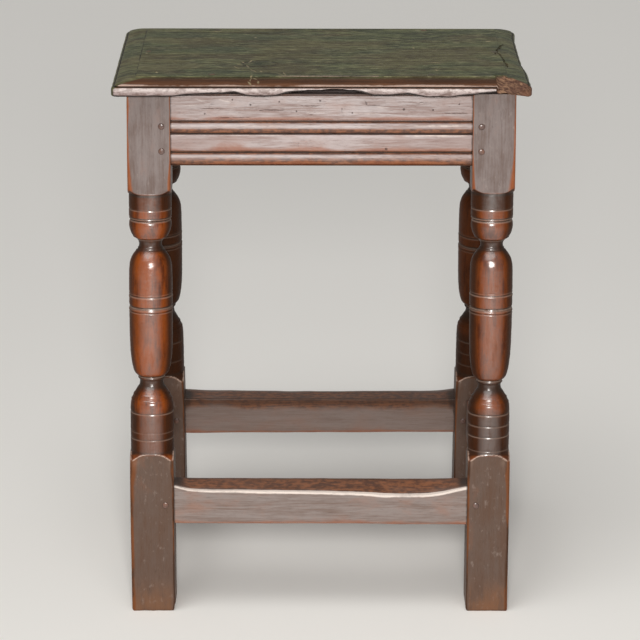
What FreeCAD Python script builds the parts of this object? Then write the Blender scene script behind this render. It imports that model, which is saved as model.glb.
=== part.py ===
import FreeCAD, Part
import math
import os

from FreeCAD import Placement, Rotation, Vector

# A joined oak stool: four turned legs, four moulded rails and four stretchers, tenoned and pegged,
# under a moulded seat board. Millimetres, +Z up, the front faces -Y, and the origin is on the floor
# under the middle of the stool.

# Overall
stool_height = 565.0
frame_length = 393.0
frame_depth_top = 237.0
frame_depth_foot = 324.0

# Seat board, its edge moulding read from the flat field down to the rounded nose
seat_end_overhang = 15.0
seat_side_overhang = 15.5
seat_thickness = 16.5
moulding_width = 24.0
field_step = 1.1
nose_height = 9.6
nose_round = 3.2
nose_under_round = 1.8
quirk_step = 1.3
ovolo_share = 0.07
back_corner_round = 14.0
front_corner_round = 4.0

# Legs: square blocks at the joints, turned between them
leg_size = 43.5
upper_block = 105.0
lower_block = 171.0
shoulder_rise = 6.0
turned_allowance = 0.35

# Turning, from the collar under the upper block down to the drum over the lower one
collar_length = 32.5
bowl_length = 13.6
neck_length = 13.4
neck_radius = 11.5
neck_mouth_radius = 12.6
neck_ring_radius = 14.6
neck_ring_height = 2.0
swell_length = 20.0
taper_length = 50.0
taper_foot_radius = 17.2
undercut_length = 5.5
waist_length = 10.0
waist_radius = 11.6
waist_mouth_radius = 12.7
flare_length = 24.0
drum_length = 44.0

# How far each turned curve bulges from its chord, as a share of the chord
bowl_bulge_share = 0.055
swell_bulge_share = 0.05
taper_bulge_share = 0.028
flare_bulge_share = 0.055

# Rails, with two beads and two flat bands run along the outer face
rail_height = 73.8
rail_thickness = 24.0
rail_set_back = 1.0
lower_bead = 12.8
lower_band = 18.4
upper_bead = 11.6
groove_width = 1.7
groove_depth = 2.2

# Stretchers, worn hollow by feet along the outer arris
stretcher_height = 43.5
stretcher_thickness = 30.0
stretcher_lift = 95.0
front_wear = 9.5
back_wear = 3.0
inner_wear = 0.7
wear_span_share = 0.93

# Mortise and tenon joints
tenon_thickness = 8.5
tenon_set = 9.0
tenon_gap = 2.2
tenon_top_shoulder = 14.0
tenon_edge_shoulder = 4.5
mortise_clearance = 0.2

# Pegs
peg_sides = 8
peg_radius = 3.5
peg_inset = 9.0
peg_proud = 0.9
peg_clearance = 0.1
rail_peg_shares = (0.2, 0.545)
side_rail_peg_shares = (0.31, 0.63)
stretcher_peg_share = 0.49
side_stretcher_peg_share = 0.25
seat_peg_radius = 4.0
seat_peg_depth = 26.0
seat_peg_spacing = 222.0
seat_peg_share = 0.62

# One overrun for every cut and every stick that is trimmed later
overrun = 30.0

# Sizes that follow
seat_length = frame_length + 2 * seat_end_overhang
seat_width = frame_depth_top + 2 * seat_side_overhang
frame_top = stool_height - seat_thickness
lean = math.atan((frame_depth_foot - frame_depth_top) / 2 / frame_top)
leg_length = frame_top / math.cos(lean)
turned_radius = leg_size / 2 - turned_allowance
corner_radius = leg_size / math.sqrt(2)
quarter_round_share = (math.sqrt(2) - 1) / 2
clear_length = frame_length - 2 * leg_size
tenon_length = leg_size - tenon_set - tenon_thickness - tenon_gap
rail_foot = leg_length - rail_height
side_rail_foot = frame_top - rail_height

# The outer face of each long frame leans about the line where it meets the floor
FRONT = Placement(Vector(0, -frame_depth_foot / 2, 0), Rotation(Vector(1, 0, 0), -math.degrees(lean)))
HALF_TURN = Placement(Vector(0, 0, 0), Rotation(Vector(0, 0, 1), 180))
BACK = HALF_TURN * FRONT


class Outline:
    """Straight and arched edges in one plane, closed into a face. An arch bulges to the left of its travel."""

    def __init__(self, place, across, up):
        self.place = place
        self.first = (across, up)
        self.last = (across, up)
        self.edges = []

    def line(self, across, up):
        self.edges.append(Part.LineSegment(self.place(*self.last), self.place(across, up)).toShape())
        self.last = (across, up)

    def arch(self, across, up, rise_share):
        run = across - self.last[0]
        climb = up - self.last[1]
        middle = (self.last[0] + run / 2 - climb * rise_share, self.last[1] + climb / 2 + run * rise_share)
        arc = Part.Arc(self.place(*self.last), self.place(*middle), self.place(across, up))
        self.edges.append(arc.toShape())
        self.last = (across, up)

    def cove(self, up, depth):
        """A hollow straight up or down from the last point"""
        climb = up - self.last[1]
        self.arch(self.last[0], up, depth / climb)

    def face(self):
        self.line(*self.first)
        return Part.Face(Part.Wire(self.edges))


def in_xz(across, up):
    return Vector(across, 0, up)


def in_yz(across, up):
    return Vector(0, across, up)


def block(x_range, y_range, z_range):
    sizes = [high - low for low, high in (x_range, y_range, z_range)]
    return Part.makeBox(*sizes, Vector(x_range[0], y_range[0], z_range[0]))


def grown(low_high, by):
    return (low_high[0] - by, low_high[1] + by)


def edge_waste(length, width):
    """What is planed off above and below the moulded edges of a board, along both its sides"""
    half = width / 2
    above = Outline(in_yz, half + overrun, nose_height - nose_round)
    above.line(half, nose_height - nose_round)
    above.arch(half - nose_round, nose_height, -quarter_round_share)
    above.line(half - nose_round, nose_height + quirk_step)
    above.arch(half - moulding_width, seat_thickness - field_step, -ovolo_share)
    above.line(half - moulding_width, seat_thickness + overrun)
    above.line(half + overrun, seat_thickness + overrun)
    below = Outline(in_yz, half + overrun, nose_under_round)
    below.line(half, nose_under_round)
    below.arch(half - nose_under_round, 0, quarter_round_share)
    below.line(half - nose_under_round, -overrun)
    below.line(half + overrun, -overrun)
    waste = [outline.face().extrude(Vector(length, 0, 0)) for outline in (above, below)]
    for shape in waste:
        shape.translate(Vector(-length / 2, 0, frame_top))
    return waste + [shape.mirror(Vector(0, 0, 0), Vector(0, 1, 0)) for shape in waste]


def rounded(solid, radius, picks):
    """A block with those of its upright edges rounded that picks says yes to"""
    upright = [edge for edge in solid.Edges if edge.BoundBox.ZLength > edge.BoundBox.DiagonalLength / 2]
    return solid.makeFillet(radius, [edge for edge in upright if picks(edge.CenterOfMass)])


def seat_board():
    board = block(grown((0, 0), seat_length / 2), grown((0, 0), seat_width / 2), (frame_top, stool_height))
    board = rounded(board, back_corner_round, lambda middle: middle.y > 0)
    board = rounded(board, front_corner_round, lambda middle: middle.y < 0)
    end_waste = edge_waste(seat_width + 2 * overrun, seat_length)
    for shape in end_waste:
        shape.rotate(Vector(0, 0, 0), Vector(0, 0, 1), 90)
    return board.cut(edge_waste(seat_length + 2 * overrun, seat_width) + end_waste)


def turned_face():
    """Half the outline of a leg from its axis, drawn down from the top of the stick"""
    block_radius = corner_radius + turned_allowance
    top = leg_length + overrun
    shoulder = leg_length - upper_block
    leg = Outline(in_xz, 0, top)
    leg.line(block_radius, top)
    leg.line(block_radius, shoulder + shoulder_rise)
    leg.line(turned_radius, shoulder)

    collar_foot = shoulder - collar_length
    bowl_foot = collar_foot - bowl_length
    leg.line(turned_radius, collar_foot)
    leg.arch(neck_mouth_radius, bowl_foot, bowl_bulge_share)

    neck_foot = bowl_foot - neck_length
    leg.cove(neck_foot + neck_ring_height, neck_mouth_radius - neck_radius)
    leg.line(neck_ring_radius, neck_foot + neck_ring_height)
    leg.line(neck_ring_radius, neck_foot)

    swell_foot = neck_foot - swell_length
    leg.arch(turned_radius, swell_foot, swell_bulge_share)

    drum_top = lower_block + drum_length
    waist_foot = drum_top + flare_length
    waist_top = waist_foot + waist_length
    taper_foot = waist_top + undercut_length
    leg.line(turned_radius, taper_foot + taper_length)
    leg.arch(taper_foot_radius, taper_foot, taper_bulge_share)
    leg.line(waist_mouth_radius, waist_top)
    leg.cove(waist_foot, waist_mouth_radius - waist_radius)
    leg.arch(turned_radius, drum_top, flare_bulge_share)
    leg.line(turned_radius, lower_block)
    leg.line(block_radius, lower_block - shoulder_rise)
    leg.line(block_radius, -overrun)
    leg.line(0, -overrun)
    return leg.face()


def leg_stick(side):
    """A leg standing upright, its outer face on y = 0, before its mortises are cut"""
    middle = side * (frame_length - leg_size) / 2
    axis = Vector(middle, leg_size / 2, 0)
    turned = turned_face().revolve(Vector(0, 0, 0), Vector(0, 0, 1), 360)
    turned.translate(axis)
    square = block(grown((middle, middle), leg_size / 2), (0, leg_size), (-overrun, leg_length + overrun))
    return square.common(turned)


def level_ends(shape):
    """Cut flat at the floor and under the seat"""
    reach = (-seat_length, seat_length)
    return shape.common(block(reach, reach, (0, frame_top)))


def rail_section():
    """A rail's section: its moulded outer face on y = 0, its lower edge on z = 0"""
    rail = Outline(in_yz, groove_depth, 0)
    rail.arch(groove_depth, lower_bead, groove_depth / lower_bead)
    level = lower_bead + groove_width
    rail.line(groove_depth, level)
    rail.line(0, level)
    level += lower_band
    rail.line(0, level)
    rail.line(groove_depth, level)
    level += upper_bead
    rail.arch(groove_depth, level, groove_depth / upper_bead)
    level += groove_width
    rail.line(groove_depth, level)
    rail.line(0, level)
    rail.line(0, rail_height + overrun)
    rail.line(rail_thickness, rail_height + overrun)
    rail.line(rail_thickness, 0)
    return rail.face()


def stretcher_section():
    stretcher = Outline(in_yz, 0, 0)
    stretcher.line(0, stretcher_height)
    stretcher.line(stretcher_thickness, stretcher_height)
    stretcher.line(stretcher_thickness, 0)
    return stretcher.face()


def long_bar(section, foot):
    """A rail or stretcher of a long frame, shoulder to shoulder, in the frame's upright place"""
    bar = section.extrude(Vector(clear_length, 0, 0))
    bar.translate(Vector(-clear_length / 2, rail_set_back, foot))
    return bar


def tenon_heights(foot, height, top_shoulder):
    return (foot + tenon_edge_shoulder, foot + height - top_shoulder)


def long_tenons(heights, clearance):
    """The tenons at both ends of a long rail or stretcher, or the mortises for them"""
    reach = clear_length / 2 + tenon_length + clearance
    depth = grown((tenon_set, tenon_set + tenon_thickness), clearance)
    return block((-reach, reach), depth, grown(heights, clearance))


def between_legs(shape, sunk):
    """What lies between the two leaning frames, sunk so far into the inner faces of their legs"""
    inward = (leg_size - sunk, leg_size + frame_depth_foot)
    inner = block(grown((0, 0), frame_length), inward, grown((0, stool_height), frame_length))
    for place in (FRONT, BACK):
        region = inner.copy()
        region.Placement = place
        shape = shape.common(region)
    return shape


def side_bar(section, foot):
    """A left rail or stretcher between the leaning frames, its outer face to -X"""
    bar = section.extrude(Vector(frame_depth_foot, 0, 0))
    bar.rotate(Vector(0, 0, 0), Vector(0, 0, 1), -90)
    bar.translate(Vector(rail_set_back - frame_length / 2, frame_depth_foot / 2, foot))
    return between_legs(bar, 0)


def side_tenons(heights, clearance):
    """The tenons at both ends of a left rail or stretcher, or the mortises for them"""
    outer = -frame_length / 2
    cheeks = grown((outer + tenon_set, outer + tenon_set + tenon_thickness), clearance)
    bar = block(cheeks, grown((0, 0), frame_depth_foot / 2), grown(heights, clearance))
    return between_legs(bar, tenon_length + clearance)


def peg_stick(radius, length):
    """An eight-sided peg along Z, riven and shaved to fit a hole of that radius"""
    turns = [2 * math.pi * (corner + 0.5) / peg_sides for corner in range(peg_sides)]
    corners = [Vector(radius * math.cos(turn), radius * math.sin(turn), 0) for turn in turns]
    return Part.Face(Part.makePolygon(corners + corners[:1])).extrude(Vector(0, 0, length))


def peg_at(start, direction, radius):
    peg = peg_stick(radius, leg_size + 2 * peg_proud)
    peg.Placement = Placement(start, Rotation(Vector(0, 0, 1), direction))
    return peg


def long_pegs(levels, radius):
    """Pegs through the legs of a long frame from its outer face, in the frame's upright place"""
    out = clear_length / 2 + peg_inset
    starts = [Vector(side * out, -peg_proud, level) for side in (-1, 1) for level in levels]
    return [peg_at(start, Vector(0, 1, 0), radius) for start in starts]


def leg_level(height):
    """How far up a leaning leg its side peg is at that height from the floor"""
    return (height + (leg_size - peg_inset) * math.sin(lean)) / math.cos(lean)


def side_pegs(levels, radius):
    """Pegs through a left leg from its side face, in the frame's upright place"""
    depth = leg_size - peg_inset
    starts = [Vector(-frame_length / 2 - peg_proud, depth, level) for level in levels]
    return [peg_at(start, Vector(1, 0, 0), radius) for start in starts]


def mirrored(shape):
    return shape.mirror(Vector(0, 0, 0), Vector(1, 0, 0))


def placed(shapes, place):
    moved = []
    for shape in shapes:
        copy = shape.copy()
        copy.Placement = place * copy.Placement
        moved.append(copy)
    return moved


def worn(bar, depth):
    """A long stretcher hollowed along its outer top arris"""
    span = clear_length * wear_span_share
    radius = (span * span / 4 + depth * depth) / (2 * depth)
    low = stretcher_lift + stretcher_height - depth
    scoop = Part.makeCylinder(radius, stretcher_thickness + 2 * overrun, Vector(0, -overrun, 0), Vector(0, 1, 0))
    scoop.translate(Vector(0, rail_set_back, low + radius))
    tilt = math.degrees(math.atan((depth - inner_wear) / stretcher_thickness))
    scoop.rotate(Vector(0, rail_set_back, low), Vector(1, 0, 0), tilt)
    return bar.cut(scoop)


def seat_pegs(places, radius, length):
    """Upright pegs through the seat board into the rails, flush with the seat"""
    foot = stool_height - length
    pegs = [peg_stick(radius, length) for place in places]
    for peg, (x, y) in zip(pegs, places):
        peg.translate(Vector(x, y, foot))
    return pegs


# Heights of the joints: along the leaning legs for the long frames, straight up for the sides
rail_tenon = tenon_heights(rail_foot, rail_height, tenon_top_shoulder)
stretcher_tenon = tenon_heights(stretcher_lift, stretcher_height, tenon_edge_shoulder)
side_rail_tenon = tenon_heights(side_rail_foot, rail_height, tenon_top_shoulder)
rail_levels = [rail_foot + rail_height * share for share in rail_peg_shares]
stretcher_levels = [stretcher_lift + stretcher_height * stretcher_peg_share]
side_rail_levels = [leg_level(side_rail_foot + rail_height * share) for share in side_rail_peg_shares]
side_stretcher_levels = [leg_level(stretcher_lift + stretcher_height * side_stretcher_peg_share)]

# Holes and mortises, before they are placed
hole_radius = peg_radius + peg_clearance
long_holes = long_pegs(rail_levels + stretcher_levels, hole_radius)
left_holes = side_pegs(side_rail_levels + side_stretcher_levels, hole_radius)
long_mortises = [long_tenons(rail_tenon, mortise_clearance), long_tenons(stretcher_tenon, mortise_clearance)]
left_mortises = [side_tenons(side_rail_tenon, mortise_clearance), side_tenons(stretcher_tenon, mortise_clearance)]
side_mortises = {-1: left_mortises, 1: [mirrored(shape) for shape in left_mortises]}
side_holes = {-1: left_holes, 1: [mirrored(shape) for shape in left_holes]}

seat_peg_set = rail_set_back + rail_thickness * seat_peg_share
long_seat_places = [
    (x * seat_peg_spacing / 2, y * (frame_depth_top / 2 - seat_peg_set)) for x in (-1, 1) for y in (-1, 1)
]
side_seat_places = [(x * (frame_length / 2 - seat_peg_set), 0) for x in (-1, 1)]
seat_places = long_seat_places + side_seat_places
seat_holes = seat_pegs(seat_places, seat_peg_radius + peg_clearance, seat_thickness + seat_peg_depth)

nodes = {}
nodes["seat_top"] = seat_board().cut(seat_holes)

# Legs: the left one of a frame is the right one of the same frame turned half round to the back
for end, place in (("front", FRONT), ("back", BACK)):
    for hand, side in (("left", -1), ("right", 1)):
        own = side if end == "front" else -side
        stick = leg_stick(own).cut(long_mortises + long_holes + side_holes[own])
        leg = level_ends(placed([stick], place)[0])
        nodes["leg_" + end + "_" + hand] = leg.cut(side_mortises[side])

# Long rails and stretchers, with their pegs
for end, place, wear in (("front", FRONT, front_wear), ("back", BACK, back_wear)):
    rail = long_bar(rail_section(), rail_foot).fuse(long_tenons(rail_tenon, 0)).cut(long_holes)
    rail = level_ends(placed([rail], place)[0])
    nodes["rail_" + end] = rail.cut(seat_holes)
    stretcher = worn(long_bar(stretcher_section(), stretcher_lift), wear)
    stretcher = stretcher.fuse(long_tenons(stretcher_tenon, 0)).cut(long_holes)
    nodes["stretcher_" + end] = placed([stretcher], place)[0]
    nodes["rail_pegs_" + end] = Part.makeCompound(placed(long_pegs(rail_levels, peg_radius), place))
    nodes["stretcher_pegs_" + end] = Part.makeCompound(placed(long_pegs(stretcher_levels, peg_radius), place))

# Side rails and stretchers: each is drawn on the left and mirrored to the right
left_leg_holes = placed(side_holes[-1], FRONT) + placed(side_holes[1], BACK)
side_rail = side_bar(rail_section(), side_rail_foot).fuse(side_tenons(side_rail_tenon, 0))
side_rail = level_ends(side_rail).cut(left_leg_holes + seat_holes)
side_stretcher = side_bar(stretcher_section(), stretcher_lift).fuse(side_tenons(stretcher_tenon, 0))
side_stretcher = side_stretcher.cut(left_leg_holes)
for name, shape in (("rail", side_rail), ("stretcher", side_stretcher)):
    nodes[name + "_left"] = shape
    nodes[name + "_right"] = mirrored(shape)

for name, levels in (("rail_pegs", side_rail_levels), ("stretcher_pegs", side_stretcher_levels)):
    pegs = side_pegs(levels, peg_radius)
    left = placed(pegs, FRONT) + placed([mirrored(peg) for peg in pegs], BACK)
    nodes[name + "_left"] = Part.makeCompound(left)
    nodes[name + "_right"] = Part.makeCompound([mirrored(peg) for peg in left])

seat_peg_length = seat_thickness + seat_peg_depth - peg_proud
nodes["seat_pegs_long_rails"] = Part.makeCompound(seat_pegs(long_seat_places, seat_peg_radius, seat_peg_length))
nodes["seat_pegs_side_rails"] = Part.makeCompound(seat_pegs(side_seat_places, seat_peg_radius, seat_peg_length))

os.makedirs("parts", exist_ok=True)
for name, shape in nodes.items():
    print(name, len(shape.Solids), round(shape.Volume), shape.isValid())
    shape.exportStep("parts/" + name + ".step")
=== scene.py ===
import math

import bpy
import numpy as np
from bpy.props import FloatProperty, FloatVectorProperty, PointerProperty
from bpy.types import Operator, Panel, PropertyGroup
from mathutils import Euler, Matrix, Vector


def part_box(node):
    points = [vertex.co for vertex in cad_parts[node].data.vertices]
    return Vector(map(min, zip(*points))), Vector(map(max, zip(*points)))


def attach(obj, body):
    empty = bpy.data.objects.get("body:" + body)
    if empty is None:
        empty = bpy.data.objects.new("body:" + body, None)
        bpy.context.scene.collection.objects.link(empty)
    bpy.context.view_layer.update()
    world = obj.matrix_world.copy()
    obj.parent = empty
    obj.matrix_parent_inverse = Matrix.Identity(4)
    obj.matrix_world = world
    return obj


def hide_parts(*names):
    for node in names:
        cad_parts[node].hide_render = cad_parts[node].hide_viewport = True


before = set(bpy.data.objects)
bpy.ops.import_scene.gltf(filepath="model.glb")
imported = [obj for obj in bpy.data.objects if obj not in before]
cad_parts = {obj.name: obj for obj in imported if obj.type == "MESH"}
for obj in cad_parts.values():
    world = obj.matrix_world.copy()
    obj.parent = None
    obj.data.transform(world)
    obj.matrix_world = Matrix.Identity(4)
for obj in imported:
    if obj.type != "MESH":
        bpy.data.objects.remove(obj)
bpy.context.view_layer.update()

bl_info = {
    "name": "Joined stool",
    "version": (1, 0, 0),
    "blender": (4, 5, 0),
    "location": "3D View > Sidebar > Stool",
    "description": "Dresses a joined oak stool: worn seat board, turned legs, moulded rails, stretchers and pegs",
    "category": "Object",
}

SEAT_LOW, SEAT_HIGH = (np.array(corner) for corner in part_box("seat_top"))
STRETCHER_HIGH = np.array(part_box("stretcher_front")[1])
FEET_LOW = np.array(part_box("leg_front_left")[0])
MM = 0.001
ENDS = ("front", "back")
HANDS = (("left", -1), ("right", 1))

# Sizes and places of the frame that the CAD nodes share, in millimetres
FRAME_TOP = SEAT_LOW[2] / MM
FRAME_HALF = -FEET_LOW[0] / MM
FOOT_FRONT = FEET_LOW[1] / MM
LEG = 43.5
LEAN_RUN, LEAN_RISE = 43.5, 548.5
LEAN = math.atan(LEAN_RUN / LEAN_RISE)
LEG_LENGTH = FRAME_TOP / math.cos(LEAN)
CLEAR_HALF = FRAME_HALF - LEG
RAIL_HEIGHT = 73.8
RAIL_THICK = 24.0
RAIL_SET_BACK = 1.0
STRETCHER_LIFT = 95.0
STRETCHER_HEIGHT = 43.5
STRETCHER_THICK = 30.0
RAIL_FOOT = LEG_LENGTH - RAIL_HEIGHT
SIDE_RAIL_FOOT = FRAME_TOP - RAIL_HEIGHT
UPPER_SHOULDER = LEG_LENGTH - 105.0
LOWER_SHOULDER = 171.0

# Tenons: how deep their cheeks lie behind the outer face, how far they reach into the leg, half a millimetre short of
# the solids, and how far their edges stay from the bar's
TENON_NEAR, TENON_FAR = 9.0, 17.5
TENON_REACH = STRETCHER_HIGH[0] / MM - CLEAR_HALF - 0.5
TENON_LAP = 2.0
TENON_EDGE = 4.5
RAIL_TENON_TOP = RAIL_HEIGHT - 14
STRETCHER_TENON_TOP = STRETCHER_HEIGHT - 9

# Pegs, with their places as shares of the height of the bar that they hold
PEG_RADIUS = 3.45
PEG_PROUD = 0.9
PEG_INSET = 9.0
RAIL_PEG_SHARES = (0.2, 0.545)
SIDE_RAIL_PEG_SHARES = (0.31, 0.63)
STRETCHER_PEG_SHARE = 0.49
SIDE_STRETCHER_PEG_SHARE = 0.25
SEAT_PEG_RADIUS = 3.9
SEAT_PEG_LENGTH = 41.6
SEAT_PEG_SPACING = 111.0
SEAT_PEG_SHARE = 0.62
SEAT_PEG_DOME = 0.25


def linear(red, green, blue):
    """A display colour from 0 to 255 as scene-linear red, green and blue."""
    part = np.array([red, green, blue]) / 255
    return tuple(np.where(part <= 0.04045, part / 12.92, ((part + 0.055) / 1.055) ** 2.4).tolist())


def length(name, description, default, low, high):
    """A setting in metres, given here in millimetres."""
    return FloatProperty(name=name, description=description, default=default * MM, min=low * MM, max=high * MM,
                         precision=5, subtype="DISTANCE", unit="LENGTH")


def share(name, description, default):
    """A setting from 0 to 1."""
    return FloatProperty(name=name, description=description, default=default, min=0.0, max=1.0, subtype="FACTOR")


def colour(name, description, *display):
    """A colour setting, given here from 0 to 255."""
    return FloatVectorProperty(name=name, description=description, default=linear(*display), min=0.0, max=1.0,
                               size=3, subtype="COLOR")


class StoolShape(PropertyGroup):
    """Sizes of the worn surfaces."""

    arris_round: length("Arris round", "How far the square arrises of the legs are rubbed round", 2.0, 0.2, 6)
    break_height: length("Break height", "How high the broken arch climbs in the front edge of the seat", 10.8, 0, 12)
    break_depth: length("Break depth", "How far under the seat the broken arch runs", 40, 2, 60)
    hollow: length("Seat hollow", "How much the seat is rubbed below its highest points", 0.4, 0, 2)
    scoring: length("Scored lines", "Depth of the lines scored round the turned legs", 0.75, 0, 2)
    foot_wear: length("Foot wear", "How deep the outer arris of the front stretcher is worn", 9.5, 0, 14)
    peg_dome: length("Peg dome", "How far a peg's end is domed", 0.9, 0.1, 0.9)


class StoolFinish(PropertyGroup):
    """Colours and polish of the oak."""

    # The green in the seat's two colours is partly a painted reflection of green surroundings over the olive-brown
    # waxed oak
    seat: colour("Seat", "Olive-brown of the waxed seat", 54, 57, 36)
    seat_light: colour("Seat, rubbed", "Paler figure in the seat", 104, 107, 76)
    moulding: colour("Moulding", "Red-brown of the front moulding", 84, 54, 36)
    patina: colour("Patina", "Grey-brown skin of the leg blocks", 132, 121, 118)
    patina_dark: colour("Patina, dark", "Darker figure in the leg blocks", 108, 92, 86)
    rail: colour("Rail patina", "Paler skin of the rails", 189, 178, 177)
    rail_dark: colour("Rail patina, dark", "Darker figure in the rails", 147, 125, 119)
    low_patina: colour("Low patina", "Skin of the leg blocks near the floor", 100, 83, 74)
    stretcher: colour("Stretcher patina", "Skin of the stretchers", 139, 127, 122)
    stretcher_dark: colour("Stretcher patina, dark", "Darker figure in the stretchers", 120, 102, 94)
    worn: colour("Worn oak", "Orange oak where the skin is rubbed through", 150, 90, 54)
    turned: colour("Turned oak", "Polished orange-brown of the turnings", 140, 68, 22)
    turned_dark: colour("Turned oak, dark", "Darker figure in the turnings", 82, 36, 13)
    # Dark wax and soiling in the hollows; also painted shade on the rails' tops under the seat, on the back legs and on
    # the stretchers' tops
    grime_and_shade: colour("Grime", "Dark wax and dirt in the hollows", 44, 31, 24)
    fresh: colour("Broken oak", "Torn fibres where the seat is broken", 126, 95, 76)
    polish: share("Polish", "Roughness of the polished oak", 0.44)


class StudioLook(PropertyGroup):
    """Floor and lamps."""

    floor: colour("Floor", "Colour of the plain floor", 244, 242, 238)
    key: FloatProperty(name="Key lamp", description="Power of the lamp above the camera", default=51.0, min=0.0,
                       unit="POWER")
    top: FloatProperty(name="Top light", description="Strength of the soft light from above", default=1.4, min=0.0)
    fill: share("Fill", "Strength of the even light from all round", 0.2)


# Number work shared by all pieces

def stacked(*parts):
    """Points from their coordinates, each coordinate stretched to the size of the largest."""
    return np.stack(np.broadcast_arrays(*parts), axis=-1)


def lattice_noise(place, cell, seed=0):
    """Smooth noise from -1 to 1. Every corner of a cell holds a fixed number, worked out from the corner's place and
    the seed, and a point blends its eight corners by p * p * (3 - 2 * p), p being its place in the cell."""
    grid = np.asarray(place, float) / cell
    base = np.floor(grid).astype(np.int64)
    part = grid - base
    part = part * part * (3 - 2 * part)
    total = np.zeros(part.shape[:-1])
    for corner in np.ndindex(2, 2, 2):
        key = base + np.array(corner)
        mixed = (key[..., 0] * 374761393 + key[..., 1] * 668265263 + key[..., 2] * 1442695041
                 + seed * 1274126177) & 0xFFFFFFFF
        mixed = ((mixed ^ (mixed >> 13)) * 1103515245) & 0xFFFFFFFF
        number = ((mixed ^ (mixed >> 16)) & 0xFFFF) / 32767.5 - 1
        total += number * np.prod(np.where(np.array(corner) == 1, part, 1 - part), axis=-1)
    return total


def ripple(along, cell, seed):
    """The same noise along one line."""
    return lattice_noise(stacked(along, 0.0, 0.0), cell, seed)


def smoothstep(low, high, value):
    """Nought at low and one at high, with p * p * (3 - 2 * p) between, p being the share of the way."""
    part = np.clip((value - low) / (high - low), 0, 1)
    return part * part * (3 - 2 * part)


def bump(value, centre, width):
    """A bell, exp(-((value - centre) / width) ** 2)."""
    return np.exp(-((value - centre) / width) ** 2)


def flowing(at, knots, values):
    """A curve through the knots: cubic pieces whose slope at a knot is the harmonic mean of its neighbours' slopes, or
    none at a turn."""
    knots, values = np.asarray(knots, float), np.asarray(values, float)
    steps = np.diff(knots)
    rises = np.diff(values) / steps
    before, after = rises[:-1], rises[1:]
    turn = before * after <= 0
    inner = np.where(turn, 0, 2 * before * after / np.where(turn, 1, before + after))
    slopes = np.concatenate([rises[:1], inner, rises[-1:]])
    piece = np.clip(np.searchsorted(knots, at) - 1, 0, len(steps) - 1)
    step = steps[piece]
    t = np.clip((at - knots[piece]) / step, 0, 1)
    return ((1 + 2 * t) * (1 - t) ** 2 * values[piece] + t * (1 - t) ** 2 * step * slopes[piece]
            + t * t * (3 - 2 * t) * values[piece + 1] + t * t * (t - 1) * step * slopes[piece + 1])


def eased_outline(corners, cuts, corner_steps=5, flat_steps=6):
    """A closed outline with its corners rubbed round. Each corner becomes a parabola between points that lie one cut
    from it along both sides, and each side gets points that crowd towards its ends. Works on any stack of outlines
    (..., corners, 2), and also gives each point's distance from the nearest corner."""
    ahead = np.roll(corners, -1, axis=-2) - corners
    size = np.linalg.norm(ahead, axis=-1, keepdims=True)
    ahead = ahead / size
    behind = -np.roll(ahead, 1, axis=-2)
    cuts = np.broadcast_to(cuts, corners.shape[:-1])[..., None]
    room = np.minimum(size, np.roll(size, 1, axis=-2)) * 0.45
    cuts = np.minimum(cuts, room)
    start, end = corners + behind * cuts, corners + ahead * cuts
    t = np.linspace(0, 1, corner_steps)[:, None]
    arcs = (1 - t) ** 2 * start[..., None, :] + 2 * t * (1 - t) * corners[..., None, :] + t * t * end[..., None, :]
    u = (0.5 - 0.5 * np.cos(np.pi * np.linspace(0, 1, flat_steps + 2)[1:-1]))[:, None]
    flats = (1 - u) * end[..., None, :] + u * np.roll(start, -1, axis=-2)[..., None, :]
    reach = np.minimum(u[:, 0], 1 - u[:, 0]) * size
    points = np.concatenate([arcs, flats], axis=-2)
    gaps = np.concatenate([np.zeros(arcs.shape[:-1]), reach], axis=-1)
    shape = corners.shape[:-2] + (-1,)
    return points.reshape(shape + (2,)), gaps.reshape(shape)


class Shell:
    """One closed skin: rings of points from one end to the other, each end closed by a flat face, with its grain place
    (along, across, deep) and its masks."""

    def __init__(self, rings, grain, **masks):
        rows, columns = rings.shape[:2]
        number = np.arange(rows * columns).reshape(rows, columns)
        beside = np.roll(number, -1, axis=1)
        quads = np.stack([number[:-1], beside[:-1], beside[1:], number[1:]], axis=-1).reshape(-1, 4)
        self.points = rings.reshape(-1, 3)
        corners = self.points[quads]
        middle = self.points.mean(0)
        across = np.cross(corners[:, 2] - corners[:, 0], corners[:, 3] - corners[:, 1])
        outward = np.sum(across * (corners.mean(1) - middle)) > 0
        ends = [number[0][::-1], number[-1]]
        self.faces = (quads if outward else quads[:, ::-1]).tolist()
        self.faces += [(end if outward else end[::-1]).tolist() for end in ends]
        self.grain = np.broadcast_to(grain, rings.shape).reshape(-1, 3)
        self.masks = {name: np.broadcast_to(mask, rings.shape[:2]).reshape(-1) for name, mask in masks.items()}


def make_piece(name, shells, material, nodes, sharp=40):
    """Puts the shells into one object that stands for CAD nodes. Points are in millimetres, the mesh in metres."""
    starts = np.cumsum([0] + [len(shell.points) for shell in shells])
    faces = [[corner + int(start) for corner in face] for shell, start in zip(shells, starts) for face in shell.faces]
    mesh = bpy.data.meshes.new(name)
    mesh.from_pydata(np.concatenate([shell.points for shell in shells]) * MM, [], faces)
    for mask in sorted(set().union(*(shell.masks for shell in shells))):
        values = np.concatenate([shell.masks.get(mask, np.zeros(len(shell.points))) for shell in shells])
        mesh.attributes.new(mask, "FLOAT", "POINT").data.foreach_set("value", values.astype(np.float32))
    grain = np.concatenate([shell.grain for shell in shells]) * MM
    mesh.attributes.new("grain", "FLOAT_VECTOR", "POINT").data.foreach_set("vector", grain.astype(np.float32).ravel())
    mesh.shade_smooth()
    mesh.set_sharp_from_angle(angle=math.radians(sharp))
    mesh.materials.append(material)
    mesh.update()
    if mesh.validate():
        raise RuntimeError("the mesh of " + name + " had faults")
    piece = bpy.data.objects.new(name, mesh)
    bpy.context.scene.collection.objects.link(piece)
    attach(piece, "root")
    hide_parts(*nodes)
    return piece


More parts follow.
